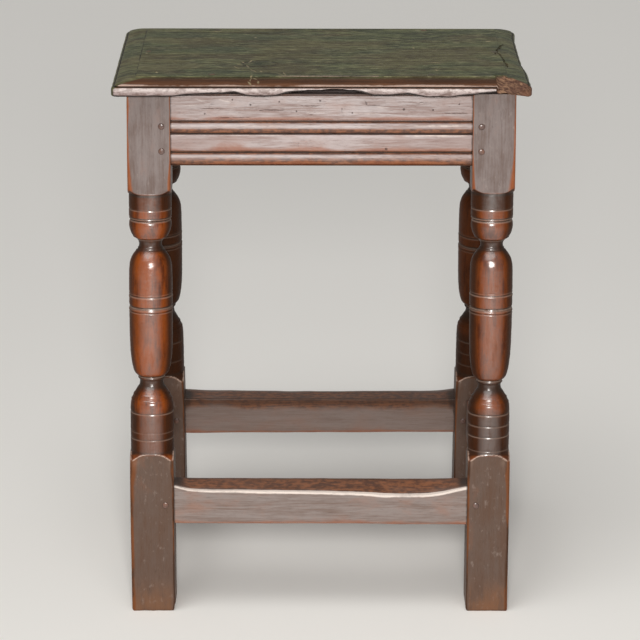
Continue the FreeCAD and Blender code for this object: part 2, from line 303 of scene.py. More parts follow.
def leaned(points, back=False):
    """From a long frame's upright place to where it stands: leant inwards about its foot line, to (x, foot + y cos + z
    sin, z cos - y sin), and turned half round for the back."""
    x, y, z = points[..., 0], points[..., 1], points[..., 2]
    sine, cosine = math.sin(LEAN), math.cos(LEAN)
    level = stacked(x, FOOT_FRONT + y * cosine + z * sine, z * cosine - y * sine)
    return level * np.array([-1, -1, 1]) if back else level


def box_shell(low, high, seed):
    """A plain tenon, eased a little at its arrises, from its lowest corner to its highest."""
    low, high = np.array(low, float), np.array(high, float)
    corners = np.array([[low[1], low[2]], [high[1], low[2]], [high[1], high[2]], [low[1], high[2]]])
    outline, _ = eased_outline(corners, 0.6, 3, 1)
    along = np.array([low[0], low[0] + 0.5, high[0] - 0.5, high[0]])
    size = np.array([0.97, 1, 1, 0.97])[:, None, None]
    middle = corners.mean(0)
    section = middle + (outline - middle) * size
    rings = stacked(along[:, None], section[..., 0], section[..., 1])
    return rings, rings + np.array([seed * 37.0, 0, 0])


# Oak, as one family of materials

# Tints beside those of the finish: patina and wear, turnings, seat, its front moulding, knots, torn corner and pegs
# Some of these tints are painted light: painted highlights, painted shade and a painted green reflection
BROWN_DARK = linear(80, 48, 32)
BROWN_LIGHT = linear(138, 86, 54)
RUBBED_RED = linear(138, 72, 38)
# Pale worn wood, and painted highlights on the rails' beads and band arris and on the stretchers' front arris
PALE_WEAR_AND_HIGHLIGHT = linear(236, 222, 212)
SCRATCH_PALE = linear(222, 208, 200)
LOW_SHADE = linear(96, 74, 62)
PATINA_HAZE = linear(178, 164, 156)
SCUFFED = linear(130, 86, 54)
ARRIS_DARK = linear(66, 42, 28)
ARRIS_LIGHT = linear(116, 68, 38)
TURNED_MOTTLE = linear(88, 48, 26)
TURNED_SHADE = linear(44, 26, 14)
BLOCK_DIRT = linear(52, 38, 30)
# Painted highlights beside the scored lines and on the arc of the lower shoulders
PAINTED_HIGHLIGHT_PALE = linear(196, 170, 154)
FLECK_DARK = linear(38, 36, 24)
FLECK_PALE = linear(158, 154, 118)
SEAT_WARM = linear(100, 80, 54)
# Painted green reflection, laid over the seat in patches
PAINTED_GREEN_REFLECTION = linear(58, 68, 50)
# Painted highlight on the lower part of the front ovolo
OVOLO_PAINTED_HIGHLIGHT = linear(126, 86, 62)
NOSE_DARK = linear(122, 104, 100)
NOSE_LIGHT = linear(168, 152, 150)
# Painted highlight on the upper part of the nose
NOSE_PAINTED_HIGHLIGHT = linear(218, 206, 202)
# Rubbed arrises of the top, with a painted highlight on the arris above the quirk
RUBBED_ARRIS_AND_HIGHLIGHT = linear(192, 164, 150)
KNOT = linear(34, 42, 31)
KNOT_RIM = linear(34, 28, 20)
KNOT_SWIRL = linear(44, 42, 30)
SEAT_SCRATCH = linear(178, 162, 128)
SEAT_CRACK = linear(46, 26, 18)
# Soiling in the quirk, and painted shade under the board, in the broken front and along the step of the field
SEAT_DIRT_AND_SHADE = linear(24, 17, 13)
TORN_DARK = linear(84, 60, 48)
TORN_RED = linear(132, 82, 54)
TORN_PALE = linear(176, 144, 116)
TORN_GREY = linear(92, 68, 60)
TORN_LIGHT = linear(170, 134, 104)
PEG_LIGHT = linear(104, 80, 73)
PEG_DARK = linear(74, 52, 45)
SEAT_PEG_LIGHT = linear(84, 78, 58)
SEAT_PEG_DARK = linear(62, 56, 42)


class Wire:
    """A socket that takes part in sums. Numbers alone are worked out before they get here."""

    def __init__(self, board, socket):
        self.board, self.socket = board, socket

    def _math(self, operation, first, second):
        return self.board.node("ShaderNodeMath", {"operation": operation}, {0: first, 1: second})

    def __add__(self, other): return self._math("ADD", self, other)
    def __radd__(self, other): return self._math("ADD", other, self)
    def __sub__(self, other): return self._math("SUBTRACT", self, other)
    def __rsub__(self, other): return self._math("SUBTRACT", other, self)
    def __mul__(self, other): return self._math("MULTIPLY", self, other)
    def __rmul__(self, other): return self._math("MULTIPLY", other, self)
    def __truediv__(self, other): return self._math("DIVIDE", self, other)
    def __pow__(self, other): return self._math("POWER", self, other)

    def most(self, other): return self._math("MAXIMUM", self, other)
    def least(self, other): return self._math("MINIMUM", self, other)

    def between(self, low, high):
        """Nought below low, one above high and smooth between."""
        return self.board.node("ShaderNodeMapRange", {"interpolation_type": "SMOOTHSTEP", "clamp": True},
                               {"Value": self, "From Min": low, "From Max": high, "To Min": 0.0, "To Max": 1.0})


class Board:
    """The node tree of a material or world, where every node is made by one method."""

    def __init__(self, owner):
        self.owner = owner
        owner.use_nodes = True
        self.tree = owner.node_tree
        self.tree.nodes.clear()

    def node(self, kind, settings=None, inputs=None, output=0):
        """A node of this type with its settings, and its sockets linked to wires or set to values."""
        made = self.tree.nodes.new(kind)
        for name, setting in (settings or {}).items():
            setattr(made, name, setting)
        for name, given in (inputs or {}).items():
            if isinstance(given, Wire):
                self.tree.links.new(given.socket, made.inputs[name])
            else:
                made.inputs[name].default_value = given
        return Wire(self, made.outputs[output]) if made.outputs else None

    def vectors(self, operation, first, second, output=0):
        """Two places or directions joined by one Vector Math node."""
        return self.node("ShaderNodeVectorMath", {"operation": operation}, {0: first, 1: second}, output)

    def object_place(self):
        """Where the surface is, in metres."""
        return self.node("ShaderNodeTexCoord", {}, output="Object")

    def grain_place(self):
        """Where the surface is in its tree: along the grain, across it and deep."""
        return self.node("ShaderNodeAttribute", {"attribute_name": "grain"}, output="Vector")

    def mask(self, name):
        """A mask of the skin by its name."""
        return self.node("ShaderNodeAttribute", {"attribute_name": name}, output="Fac")

    def stretched(self, vector, *factors):
        """The place times a factor for each axis, so that noise on it has grains of 1 / factor metres."""
        return self.vectors("MULTIPLY", vector, factors)

    def noise(self, vector, detail=3.0, roughness=0.55, distortion=0.0):
        """Smooth noise about 0.5."""
        return self.node("ShaderNodeTexNoise", {}, {"Vector": vector, "Scale": 1.0, "Detail": detail,
                                                    "Roughness": roughness, "Distortion": distortion})

    def blend(self, factor, first, second):
        """The first colour turned into the second by the factor."""
        colours = [value if isinstance(value, Wire) else tuple(value)[:3] + (1.0,) for value in (first, second)]
        return self.node("ShaderNodeMix", {"data_type": "RGBA"}, {0: factor, 6: colours[0], 7: colours[1]}, output=2)

    def wandering(self, place, reach, cell):
        """The place, moved about by noise, so that a line drawn on it isn't straight."""
        loose = self.node("ShaderNodeTexNoise", {}, {"Vector": place, "Scale": 1 / cell, "Detail": 2.0}, output="Color")
        moved = self.stretched(self.vectors("SUBTRACT", loose, (0.5, 0.5, 0.5)), reach, reach, reach)
        return self.vectors("ADD", place, moved)

    def stroke(self, place, start, end, width):
        """One on the straight line from start to end (metres), falling to nought over the width, which tapers to both
        ends."""
        run = Vector(end) - Vector(start)
        from_start = self.vectors("SUBTRACT", place, tuple(start))
        along = self.vectors("DOT_PRODUCT", from_start, tuple(run.normalized()), "Value")
        square = self.vectors("DOT_PRODUCT", from_start, from_start, "Value")
        part = (along / run.length).most(0.0).least(1.0)
        past = (along - run.length).most(-1.0 * along).most(0.0)
        taper = part * (1.0 - part) * (3.4 * width) + 0.15 * width
        return 1.0 - (square - along * along + past * past).most(0.0) ** 0.5 / taper

    def distance(self, place, centre):
        return self.vectors("DISTANCE", place, tuple(centre), "Value")

    def marks(self, place, strokes, hardness=0.6):
        """The strongest of several strokes, each given as start, end and width in millimetres."""
        strongest = None
        for start, end, width in strokes:
            line = self.stroke(place, Vector(start) * MM, Vector(end) * MM, width * MM).between(0.0, hardness)
            strongest = line if strongest is None else strongest.most(line)
        return strongest

    def finish(self, base, roughness, height, bump_distance, specular=0.5, coat=0.0, coat_roughness=0.25,
               coat_index=1.5):
        """The surface, bumped by the height, and the finished material."""
        normal = self.node("ShaderNodeBump", {}, {"Strength": 1.0, "Distance": bump_distance, "Height": height})
        surface = self.node("ShaderNodeBsdfPrincipled", {}, {
            "Base Color": base, "Roughness": roughness, "Normal": normal, "Specular IOR Level": specular,
            "Coat Weight": coat, "Coat Roughness": coat_roughness, "Coat IOR": coat_index})
        self.node("ShaderNodeOutputMaterial", {}, {"Surface": surface})
        return self.owner


def oak_figure(board, place):
    """The marks that all the oak shares, read along the grain: broad streaks, fine lines, pores, slow mottling and
    dents."""
    streaks = board.noise(board.stretched(place, 9, 150, 150), detail=4, roughness=0.6, distortion=0.4)
    lines = board.noise(board.stretched(place, 45, 620, 620), detail=3, roughness=0.62)
    pores = board.noise(board.stretched(place, 150, 2100, 2100), detail=2, roughness=0.5).between(0.62, 0.76)
    mottle = board.noise(board.stretched(place, 24, 46, 46), detail=5, roughness=0.62)
    dents = board.noise(board.stretched(place, 150, 220, 220), detail=3, roughness=0.55)
    return streaks, lines, pores, mottle, dents


def on_rail(x, z):
    """A point of the front rail's leaning outer face."""
    return (x, FOOT_FRONT + RAIL_SET_BACK + z * math.tan(LEAN), z)


# Holes as (x, height, radius), and cuts and scratches as (x, height, x, height, width), in millimetres
RAIL_HOLES = [
    (-90.0, 542.3, 0.5), (-71.7, 537.2, 0.7), (-42.7, 540.3, 0.5), (-25.3, 530.6, 0.5), (-1.4, 541.4, 0.7),
    (83.1, 532.7, 0.9), (112.6, 532.1, 0.6), (86.3, 518.0, 0.7), (65.5, 492.0, 1.2), (139.0, 538.0, 0.4),
    (-118.0, 528.0, 0.4), (31.0, 529.0, 0.4)]
RAIL_CUTS = [
    (20.8, 534.3, 20.9, 529.9, 1.5), (44.0, 541.4, 46.0, 537.0, 1.9), (46.2, 536.4, 61.4, 536.2, 1.2),
    (-23.3, 501.6, -23.1, 492.3, 0.9), (98.0, 539.6, 113.0, 539.2, 0.9), (-66.0, 531.6, -33.0, 532.0, 0.8),
    (-136.0, 533.2, -100.0, 533.0, 0.8), (122.0, 529.0, 148.0, 528.6, 0.9), (-22.0, 536.0, -2.0, 536.2, 0.8),
    (-110.0, 524.0, -70.0, 524.3, 0.6), (60.0, 526.0, 96.0, 526.2, 0.7)]
RAIL_SCRATCHES = [
    (55.5, 534.9, 69.2, 534.8, 1.4), (46.0, 540.6, 48.6, 537.2, 1.6), (95.0, 541.0, 104.0, 537.0, 1.2),
    (-126.0, 542.5, -110.0, 538.0, 1.6), (-106.0, 543.5, -90.0, 539.0, 1.6), (-30.0, 540.6, -12.0, 542.8, 1.3),
    (-17.0, 529.5, 7.0, 529.2, 1.0), (28.0, 528.5, 72.0, 528.0, 0.9), (-150.0, 536.8, -124.0, 536.6, 1.1)]


def squared_oak(name, finish, light, dark, roughness, wear_level=0.5, marked=False, specular=0.3, coat=0.0):
    """Planed and patinated oak with rubbed arrises and soiled quirks, and with the painted highlights and painted shade
    that the masks of rails and stretchers carry. The rails also have worm holes, cuts and scratches."""
    board = Board(bpy.data.materials.new(name))
    place = board.grain_place()
    streaks, lines, pores, mottle, dents = oak_figure(board, place)
    worn, grime_and_shade = board.mask("wear"), board.mask("grime_and_shade")
    figure = (streaks * 0.45 + lines * 0.35 + mottle * 0.2).between(0.38, 0.58)
    base = board.blend(figure, dark, light)
    base = board.blend(mottle.between(0.46, 0.74) * 0.36, base, finish.worn)
    base = board.blend(dents.between(0.56, 0.8) * 0.22, base, dark)
    # Darker towards the rails' ends and on their band, and painted shade over the whole back stretcher
    base = board.blend((board.mask("shade") + (mottle - 0.5) * 0.3).between(0.0, 1.0) * 0.75, base, dark)
    # Brown of the stretchers' worn tops, and brown painted shade under the rails' beads and in their coves
    brown = (board.mask("brown") + (streaks - 0.5) * 0.5 + (mottle - 0.5) * 0.5).between(0.2, 0.8)
    speckle = (lines * 0.4 + dents * 0.6).between(0.4, 0.6)
    base = board.blend(brown * 0.9, base, board.blend(speckle, BROWN_DARK, BROWN_LIGHT))
    rubbed = (worn + (streaks - 0.5) * 0.8 + (mottle - 0.5) * 1.1).between(wear_level - 0.15, wear_level + 0.4)
    base = board.blend(rubbed * 0.62, base, board.blend(lines.between(0.3, 0.7), RUBBED_RED, finish.worn))
    # Painted highlights on the rails' band arris and upper bead halves, and on the stretchers' front arris over pale
    # worn wood
    bright = (board.mask("pale") + (dents - 0.5) * 0.6 + (streaks - 0.5) * 0.5).between(0.3, 0.9)
    base = board.blend(bright * 0.85, base, PALE_WEAR_AND_HIGHLIGHT)
    # Darkened by soiling in the quirks and joints, and by painted shade on the rails' tops under the seat and on the
    # stretchers' tops
    dirt_and_shade_cover = (grime_and_shade + (dents - 0.5) * 0.4).between(0.25, 0.85)
    base = board.blend(dirt_and_shade_cover * 0.85, base, finish.grime_and_shade)
    base = board.blend(pores * 0.22, base, finish.grime_and_shade)
    height = lines * 0.25 + streaks * 0.3 + dents * 0.45 - pores * 0.3
    if marked:
        spot = board.object_place()
        holes = None
        for x, z, radius in RAIL_HOLES:
            apart = board.distance(spot, Vector(on_rail(x, z)) * MM)
            hole = 1.0 - apart.between(radius * 0.5 * MM, (radius + 0.7) * MM)
            holes = hole if holes is None else holes.most(hole)
        loose = board.wandering(spot, 0.0022, 0.006)
        cuts, scratches = (
            board.marks(loose, [(on_rail(a, b), on_rail(c, d), width) for a, b, c, d, width in drawn], 0.9)
            for drawn in (RAIL_CUTS, RAIL_SCRATCHES))
        base = board.blend(scratches * lines.between(0.42, 0.6) * 0.5, base, SCRATCH_PALE)
        cuts = cuts * (streaks * 0.5 + lines * 0.5).between(0.58, 0.42)
        base = board.blend(holes.most(cuts * 0.8) * 0.7, base, finish.grime_and_shade)
        height = height - holes * 1.2 - cuts * 0.7 - scratches * 0.3
    rough = roughness + (mottle - 0.5) * 0.22 + (lines - 0.5) * 0.14 - rubbed * 0.05 + pores * 0.15
    return board.finish(base, rough, height, 0.0005, specular=specular, coat=coat, coat_roughness=0.2, coat_index=1.9)


def turned_oak(name, finish):
    """Leg oak: polished orange-brown between the blocks, patinated on them, dark in every hollow, with painted shade on
    the sides and backs of the turnings and painted highlights beside their lines.
    """
    board = Board(bpy.data.materials.new(name))
    place = board.grain_place()
    streaks, lines, pores, mottle, dents = oak_figure(board, place)
    worn, grime_and_shade, turned = board.mask("wear"), board.mask("grime_and_shade"), board.mask("turned")
    level = board.node("ShaderNodeSeparateXYZ", {}, {0: place}, output=0)
    high = level.between(0.2, 0.4)
    skin = board.blend(high, finish.low_patina, finish.patina)
    shade = board.blend(high, LOW_SHADE, finish.patina_dark)
    figure = (streaks * 0.3 + lines * 0.22 + mottle * 0.48).between(0.36, 0.6)
    planed = board.blend(figure, shade, skin)
    planed = board.blend(dents.between(0.58, 0.8) * 0.25, planed, PATINA_HAZE)
    planed = board.blend(mottle.between(0.56, 0.8) * 0.25, planed, finish.worn)
    scuffed = (1.0 - level.between(0.002, 0.045)) * (mottle * 0.6 + streaks * 0.4).between(0.4, 0.56)
    planed = board.blend(scuffed * 0.5, planed, SCUFFED)
    rubbed = (worn + (streaks - 0.5) * 0.5 + (mottle - 0.5) * 0.9).between(0.25, 0.7)
    patchy_edge = (streaks * 0.5 + mottle * 0.5).between(0.44, 0.56)
    low_edge = board.blend(patchy_edge, ARRIS_DARK, ARRIS_LIGHT)
    edge = board.blend(high, low_edge, board.blend(lines.between(0.3, 0.7), finish.turned, finish.worn))
    planed = board.blend(rubbed * 0.88, planed, edge)
    patch = board.noise(board.stretched(place, 30, 120, 120), detail=5, roughness=0.62)
    red = board.blend((patch * 0.6 + lines * 0.2 + mottle * 0.2).between(0.37, 0.56), finish.turned_dark, finish.turned)
    red = board.blend(lines.between(0.58, 0.8) * 0.3, red, finish.turned_dark)
    red = board.blend((worn * dents.between(0.5, 0.75)) * 0.25, red, finish.worn)
    red = board.blend(mottle.between(0.5, 0.7) * 0.42, red, TURNED_MOTTLE)
    # Painted shade on the sides and backs of the turnings, together with the darker bands of the collars and drums
    side_shade_and_bands = (board.mask("brown") + (patch - 0.5) * 0.5).between(0.05, 0.95)
    red = board.blend(side_shade_and_bands * 0.9, red, TURNED_SHADE)
    base = board.blend(turned, planed, red)
    # Dark wax and soiling in the hollows, and painted shade on the back legs' turnings
    dirt_and_shade_cover = (grime_and_shade + (dents - 0.5) * 0.3 + (mottle - 0.5) * 0.35).between(0.1, 0.9)
    base = board.blend(dirt_and_shade_cover * 0.9, base, board.blend(turned, finish.grime_and_shade, BLOCK_DIRT))
    # Painted highlights beside the scored lines and on the arc of the lower shoulders
    base = board.blend(board.mask("pale") * 0.8, base, PAINTED_HIGHLIGHT_PALE)
    base = board.blend(pores * 0.25, base, finish.grime_and_shade)
    rough = 0.46 - turned * (0.46 - finish.polish) + (mottle - 0.5) * 0.18 + (lines - 0.5) * 0.1 + pores * 0.12
    height = lines * 0.2 + streaks * 0.2 + dents * 0.4 - pores * 0.3
    coat = board.mask("sheen") * (1.0 - patch.between(0.45, 0.7) * 0.45) * 0.95
    return board.finish(base, rough, height, 0.0004, specular=0.08, coat=coat, coat_roughness=0.28, coat_index=2.1)


# Marks on the seat as start, end and width, in millimetres, seen from above
SEAT_CRACKS = [
    ((192.3, 44), (184.0, 4), 1.9), ((186.0, 18), (180.5, -16), 1.9), ((184.6, 0), (188.8, -42), 1.9),
    ((187.4, -20), (191.4, -70), 2.0), ((-192.4, -13.4), (-172.0, -13.6), 1.6), ((-96.0, 88.5), (-30.0, 82.0), 1.6),
    ((-124.0, 40.0), (-80.0, 39.0), 1.0), ((-178.0, -50.0), (-150.0, -56.0), 0.8), ((20.0, 8.0), (70.0, 6.0), 0.8)]
SEAT_SCRATCHES = [
    ((-71.6, -39.8), (-74.4, -53.3), 1.7), ((-83.8, -44.4), (-77.0, -56.0), 1.5), ((-87.6, -57.9), (-80.0, -63.0), 1.4),
    ((-76.2, -62.0), (-74.0, -74.0), 1.8), ((-72.7, -80.4), (-66.5, -93.1), 1.7), ((-62.5, -86.7), (-60.0, -92.0), 2.2),
    ((-47.1, -96.6), (-37.1, -107.9), 1.4), ((-39.1, -91.9), (-36.0, -108.2), 1.4),
    ((-90.0, -66.0), (-84.0, -78.0), 1.4), ((-70.4, -104.3), (-72.0, -123.7), 1.5),
    ((-70.0, -112.0), (-64.5, -119.0), 1.5), ((-64.8, -118.0), (-63.4, -129.0), 1.5),
    ((-74.5, -122.5), (-70.0, -129.0), 1.5), ((174.1, 50.3), (179.6, 48.9), 2.6), ((-182.6, -8.7), (-180.0, -9.5), 2.8),
    ((-167.8, -91.8), (-166.5, -96.8), 2.4), ((116.5, -81.0), (117.5, -86.0), 2.6),
    ((112.0, -48.0), (124.0, -52.0), 1.5), ((-71.0, 67.0), (-69.0, 64.0), 2.4), ((-120.0, 96.0), (-104.0, 96.0), 1.4),
    ((96.0, 20.0), (98.0, 14.0), 1.9)]


def seat_oak(name, finish):
    """Seat oak: dark and waxed, its grain flowing round two knots, with cracks, scratches, rubbed edges and a torn
    corner. Its colours hold a painted green reflection, painted highlights on the front moulding and nose, and painted
    shade under the board and in its broken front."""
    board = Board(bpy.data.materials.new(name))
    spot = board.object_place()
    apart = board.node("ShaderNodeSeparateXYZ", {}, {0: spot}, output=2)
    wobble = board.noise(board.stretched(spot, 70, 70, 70), detail=2)
    level = board.stretched(spot, 1, 1.25, 0)
    first = board.distance(level, (-0.0640, -0.0700, 0)) + (wobble - 0.5) * 0.008
    second = board.distance(level, (0.1000, 0.0820, 0)) + (wobble - 0.5) * 0.008
    near = 1.0 - first.between(0.006, 0.05)
    near_second = 1.0 - second.between(0.004, 0.04)
    bend = near * 0.016 + near_second * 0.012
    bent = board.node("ShaderNodeCombineXYZ", {}, {"X": 0.0, "Y": bend, "Z": 0.0})
    place = board.vectors("ADD", board.grain_place(), bent)
    streaks, lines, pores, mottle, dents = oak_figure(board, place)
    worn, grime_and_shade, broken, front = (board.mask(mask) for mask in ("wear", "grime_and_shade", "broken", "front"))
    figure = (streaks * 0.45 + lines * 0.3 + mottle * 0.25).between(0.43, 0.57)
    base = board.blend(figure, finish.seat, finish.seat_light)
    wide = board.noise(board.stretched(spot, 10, 24, 10), detail=3)
    fleck = board.noise(board.stretched(spot, 80, 400, 80), detail=3, roughness=0.6)
    base = board.blend(fleck.between(0.52, 0.64) * 0.7, base, FLECK_DARK)
    base = board.blend(fleck.between(0.45, 0.33) * 0.55, base, FLECK_PALE)
    base = board.blend(wide.between(0.44, 0.6) * 0.28, base, SEAT_WARM)
    # Painted green reflection in patches
    base = board.blend(wide.between(0.5, 0.38) * 0.3, base, PAINTED_GREEN_REFLECTION)
    lower = (1.0 - apart.between(0.5594, 0.5625)) * front
    red = board.blend(figure, ARRIS_DARK, finish.moulding)
    # Painted highlight on the lower part of the front ovolo
    red = board.blend(lower * (0.4 + streaks.between(0.4, 0.6) * 0.4), red, OVOLO_PAINTED_HIGHLIGHT)
    on_ovolo = (1.0 - apart.between(0.5628, 0.5644)) * front
    base = board.blend(on_ovolo, base, red)
    rubbed = (worn + (dents - 0.5) * 0.7 + (mottle - 0.5) * 0.5).between(0.3, 0.8)
    skin = board.blend((dents * 0.5 + lines * 0.5).between(0.4, 0.56), NOSE_DARK, NOSE_LIGHT)
    # Painted highlights: the upper part of the nose, and the rubbed arris above the quirk
    painted_nose_highlight = apart.between(0.5520, 0.5562) * (0.45 + dents.between(0.42, 0.56) * 0.4)
    skin = board.blend(painted_nose_highlight, skin, NOSE_PAINTED_HIGHLIGHT)
    skin = board.blend(apart.between(0.5570, 0.5582), skin, RUBBED_ARRIS_AND_HIGHLIGHT)
    base = board.blend(rubbed * (0.18 + front * 0.74), base, skin)
    knot = 1.0 - first.between(0.006, 0.017)
    rings = board.noise(board.stretched(spot, 90, 210, 90), detail=3, distortion=1.2)
    rim, swirl = ((1.0 - ((apart_from - ring) * (apart_from - ring)) ** 0.5 / width).between(0.0, 1.0)
                  for apart_from, ring, width in ((first, 0.0165, 0.0045), (second, 0.014, 0.006)))
    base = board.blend(knot * (0.45 + rings.between(0.4, 0.6) * 0.4), base, KNOT)
    base = board.blend(rim * rings.between(0.36, 0.54) * 0.9, base, KNOT_RIM)
    base = board.blend(swirl * rings.between(0.42, 0.62) * 0.7, base, KNOT_SWIRL)
    plan = board.wandering(board.stretched(spot, 1, 1, 0), 0.004, 0.009)
    pale, dark = (board.marks(plan, [(start + (0,), end + (0,), width) for start, end, width in drawn], 0.9)
                  for drawn in (SEAT_SCRATCHES, SEAT_CRACKS))
    pale, dark = pale * dents.between(0.2, 0.42), dark * rings.between(0.3, 0.44)
    base = board.blend(pale * lines.between(0.3, 0.5) * (1.0 - front * 0.3) * 0.85, base, SEAT_SCRATCH)
    base = board.blend(dark * 0.62, base, SEAT_CRACK)
    # Darkened by soiling and painted shade in the quirk and the step, and by painted shade under the board, in the
    # broken front and under the nose
    dirt_and_shade_cover = (grime_and_shade + (dents - 0.5) * 0.4).between(0.3, 0.8)
    base = board.blend(dirt_and_shade_cover * 0.94, base, SEAT_DIRT_AND_SHADE)
    run_down = Vector((0.74, -0.42, -0.52)).rotation_difference(Vector((1.0, 0.0, 0.0))).to_euler()
    slant = board.node("ShaderNodeMapping", {"vector_type": "POINT"}, {"Vector": spot, "Rotation": tuple(run_down)})
    fibres = board.noise(board.stretched(slant, 36, 460, 460), detail=4, roughness=0.6)
    torn = board.blend(fibres.between(0.38, 0.56), TORN_DARK, finish.fresh)
    torn = board.blend(mottle.between(0.45, 0.7) * 0.5, torn, TORN_RED)
    torn = board.blend(fibres.between(0.58, 0.7) * wide.between(0.4, 0.55) * 0.5, torn, TORN_PALE)
    torn = board.blend(wide.between(0.52, 0.4) * 0.4, torn, TORN_GREY)
    torn = board.blend(mottle.between(0.5, 0.42) * fibres.between(0.5, 0.62) * 0.5, torn, TORN_LIGHT)
    base = board.blend(broken, base, torn)
    base = board.blend(pores * 0.25, base, finish.grime_and_shade)
    rough = 0.42 + (mottle - 0.5) * 0.24 + (lines - 0.5) * 0.16 + broken * 0.35 + dark * 0.3 - (rubbed * front) * 0.08
    height = (lines * 0.3 + streaks * 0.45 + dents * 0.5 - pores * 0.4 - dark * 2.4 - rim * 0.5 - pale * 0.5
              + fibres * broken * 0.9 + rubbed * front * dents * 1.6)
    return board.finish(base, rough, height, 0.0006, specular=0.1)


# Legs

def angle_from_face(angle):
    """The angle to the nearest of a square's four faces, from nought at its middle to an eighth of a turn."""
    return np.abs((angle + math.pi / 4) % (math.pi / 2) - math.pi / 4)


def block_radius(angle, half, rounding):
    """How far a square with rounded arrises reaches in each direction: its flat side, half / cos, until the rounding
    starts, then the rounding's arc."""
    from_face = angle_from_face(angle)
    flat = half / np.cos(from_face)
    reach = math.sqrt(2) * (half - rounding)
    aside = math.pi / 4 - from_face
    arc = reach * np.cos(aside) + np.sqrt(np.maximum(rounding ** 2 - (reach * np.sin(aside)) ** 2, 0))
    return np.where(half * np.tan(from_face) <= half - rounding, flat, arc)


TURNING = np.array([
    (171.0, 21.4), (191.0, 21.45), (211.9, 21.35), (221.9, 20.9), (227.4, 19.5), (233.4, 16.7), (238.4, 14.0),
    (241.5, 12.1), (245.6, 11.5), (248.6, 12.3), (249.8, 13.1), (251.2, 13.0), (252.6, 14.4), (255.9, 16.9),
    (262.3, 18.7), (270.9, 20.0), (281.6, 20.8), (297.5, 21.2), (314.5, 21.4), (330.5, 21.5), (360.8, 21.4),
    (368.6, 21.0), (374.6, 19.8), (379.4, 17.6), (383.0, 15.0), (384.6, 13.4), (386.2, 12.4), (388.6, 11.5),
    (391.2, 11.3), (393.6, 11.8), (395.6, 13.1), (397.4, 15.2), (399.6, 17.4), (403.2, 19.4), (407.6, 20.7),
    (411.5, 21.2), (413.8, 21.1), (415.6, 20.75), (416.9, 20.2), (417.6, 20.3), (418.4, 21.2), (420.0, 21.35),
    (435.0, 21.4), (452.3, 21.4)])
# Each line round the turning: height up the leg, depth as a share of the scoring (below nought stands proud), width
SCORING = [
    (428.9, 0.7, 0.55), (419.7, 0.9, 0.6), (417.2, 1.0, 0.7), (398.8, -0.8, 0.7), (396.8, 0.8, 0.5), (387.0, -0.8, 0.7),
    (384.2, -1.0, 0.7), (341.2, 0.4, 0.5), (338.5, 0.9, 0.6), (336.7, -0.6, 0.7), (327.6, 1.5, 0.8), (325.9, 0.8, 0.45),
    (324.0, -0.6, 0.7), (322.6, 0.7, 0.45), (321.2, -0.4, 0.5), (251.9, 1.1, 0.6), (248.8, -0.9, 0.8),
    (231.8, -0.9, 0.7), (226.4, -0.7, 0.7)]
# How each leg strays from the pattern: heights and how far its features lie above them, the lines on its drum, and
# heights and how much wider than the pattern the leg is there, outwards, and how much darker its turning is painted, as
# painted shade added to that of its sides
HABITS = {
    "front_left": (
        [(171, 0), (212, 0.5), (229, 1.0), (245, 0.5), (327, -0.6), (338, 0), (385, 0.6), (400, 0.8), (445, 0.2)],
        [(214.4, 0.8), (194.2, 0.35), (186.5, 0.7)],
        [(0, 1.6), (120, 2.2), (220, 2.2), (330, 1.9), (440, 0.9), (550, 0.2)], 0.0),
    "front_right": (
        [(171, 0), (212, -1.2), (229, -2.2), (250, -3.6), (290, -2.0), (327, -1.2), (338, 2.0), (385, 1.4), (400, 0.6),
         (445, 2.4)],
        [(213.4, 0.8), (201.4, 0.7), (189.9, 0.8), (175.0, 0.45)],
        [(0, 0.2), (171, 0.5), (330, 1.4), (440, 0.6), (550, 0.0)], 0.27),
    "back_left": (
        [(171, 0), (229, -1.0), (250, 1.2), (327, 0.8), (385, -0.8), (445, 1.0)],
        [(210.5, 0.8), (188.0, 0.6)],
        [(0, 0.5), (330, 0.9), (550, 0.0)], 0.4),
    "back_right": (
        [(171, 0), (229, 1.4), (250, 0.8), (327, -1.6), (385, 0.9), (445, -0.6)],
        [(212.0, 0.8), (198.0, 0.5), (184.0, 0.6)],
        [(0, 0.8), (330, 0.6), (550, 0.0)], -0.3),
}
# The drum's lines, the turning's radius at both shoulders, and how far up and down the blocks the shoulders scallop
LINE_WIDTH = 0.55
TURNED_RADIUS = 21.4
UPPER_CUT, LOWER_CUT = 9.0, 12.0


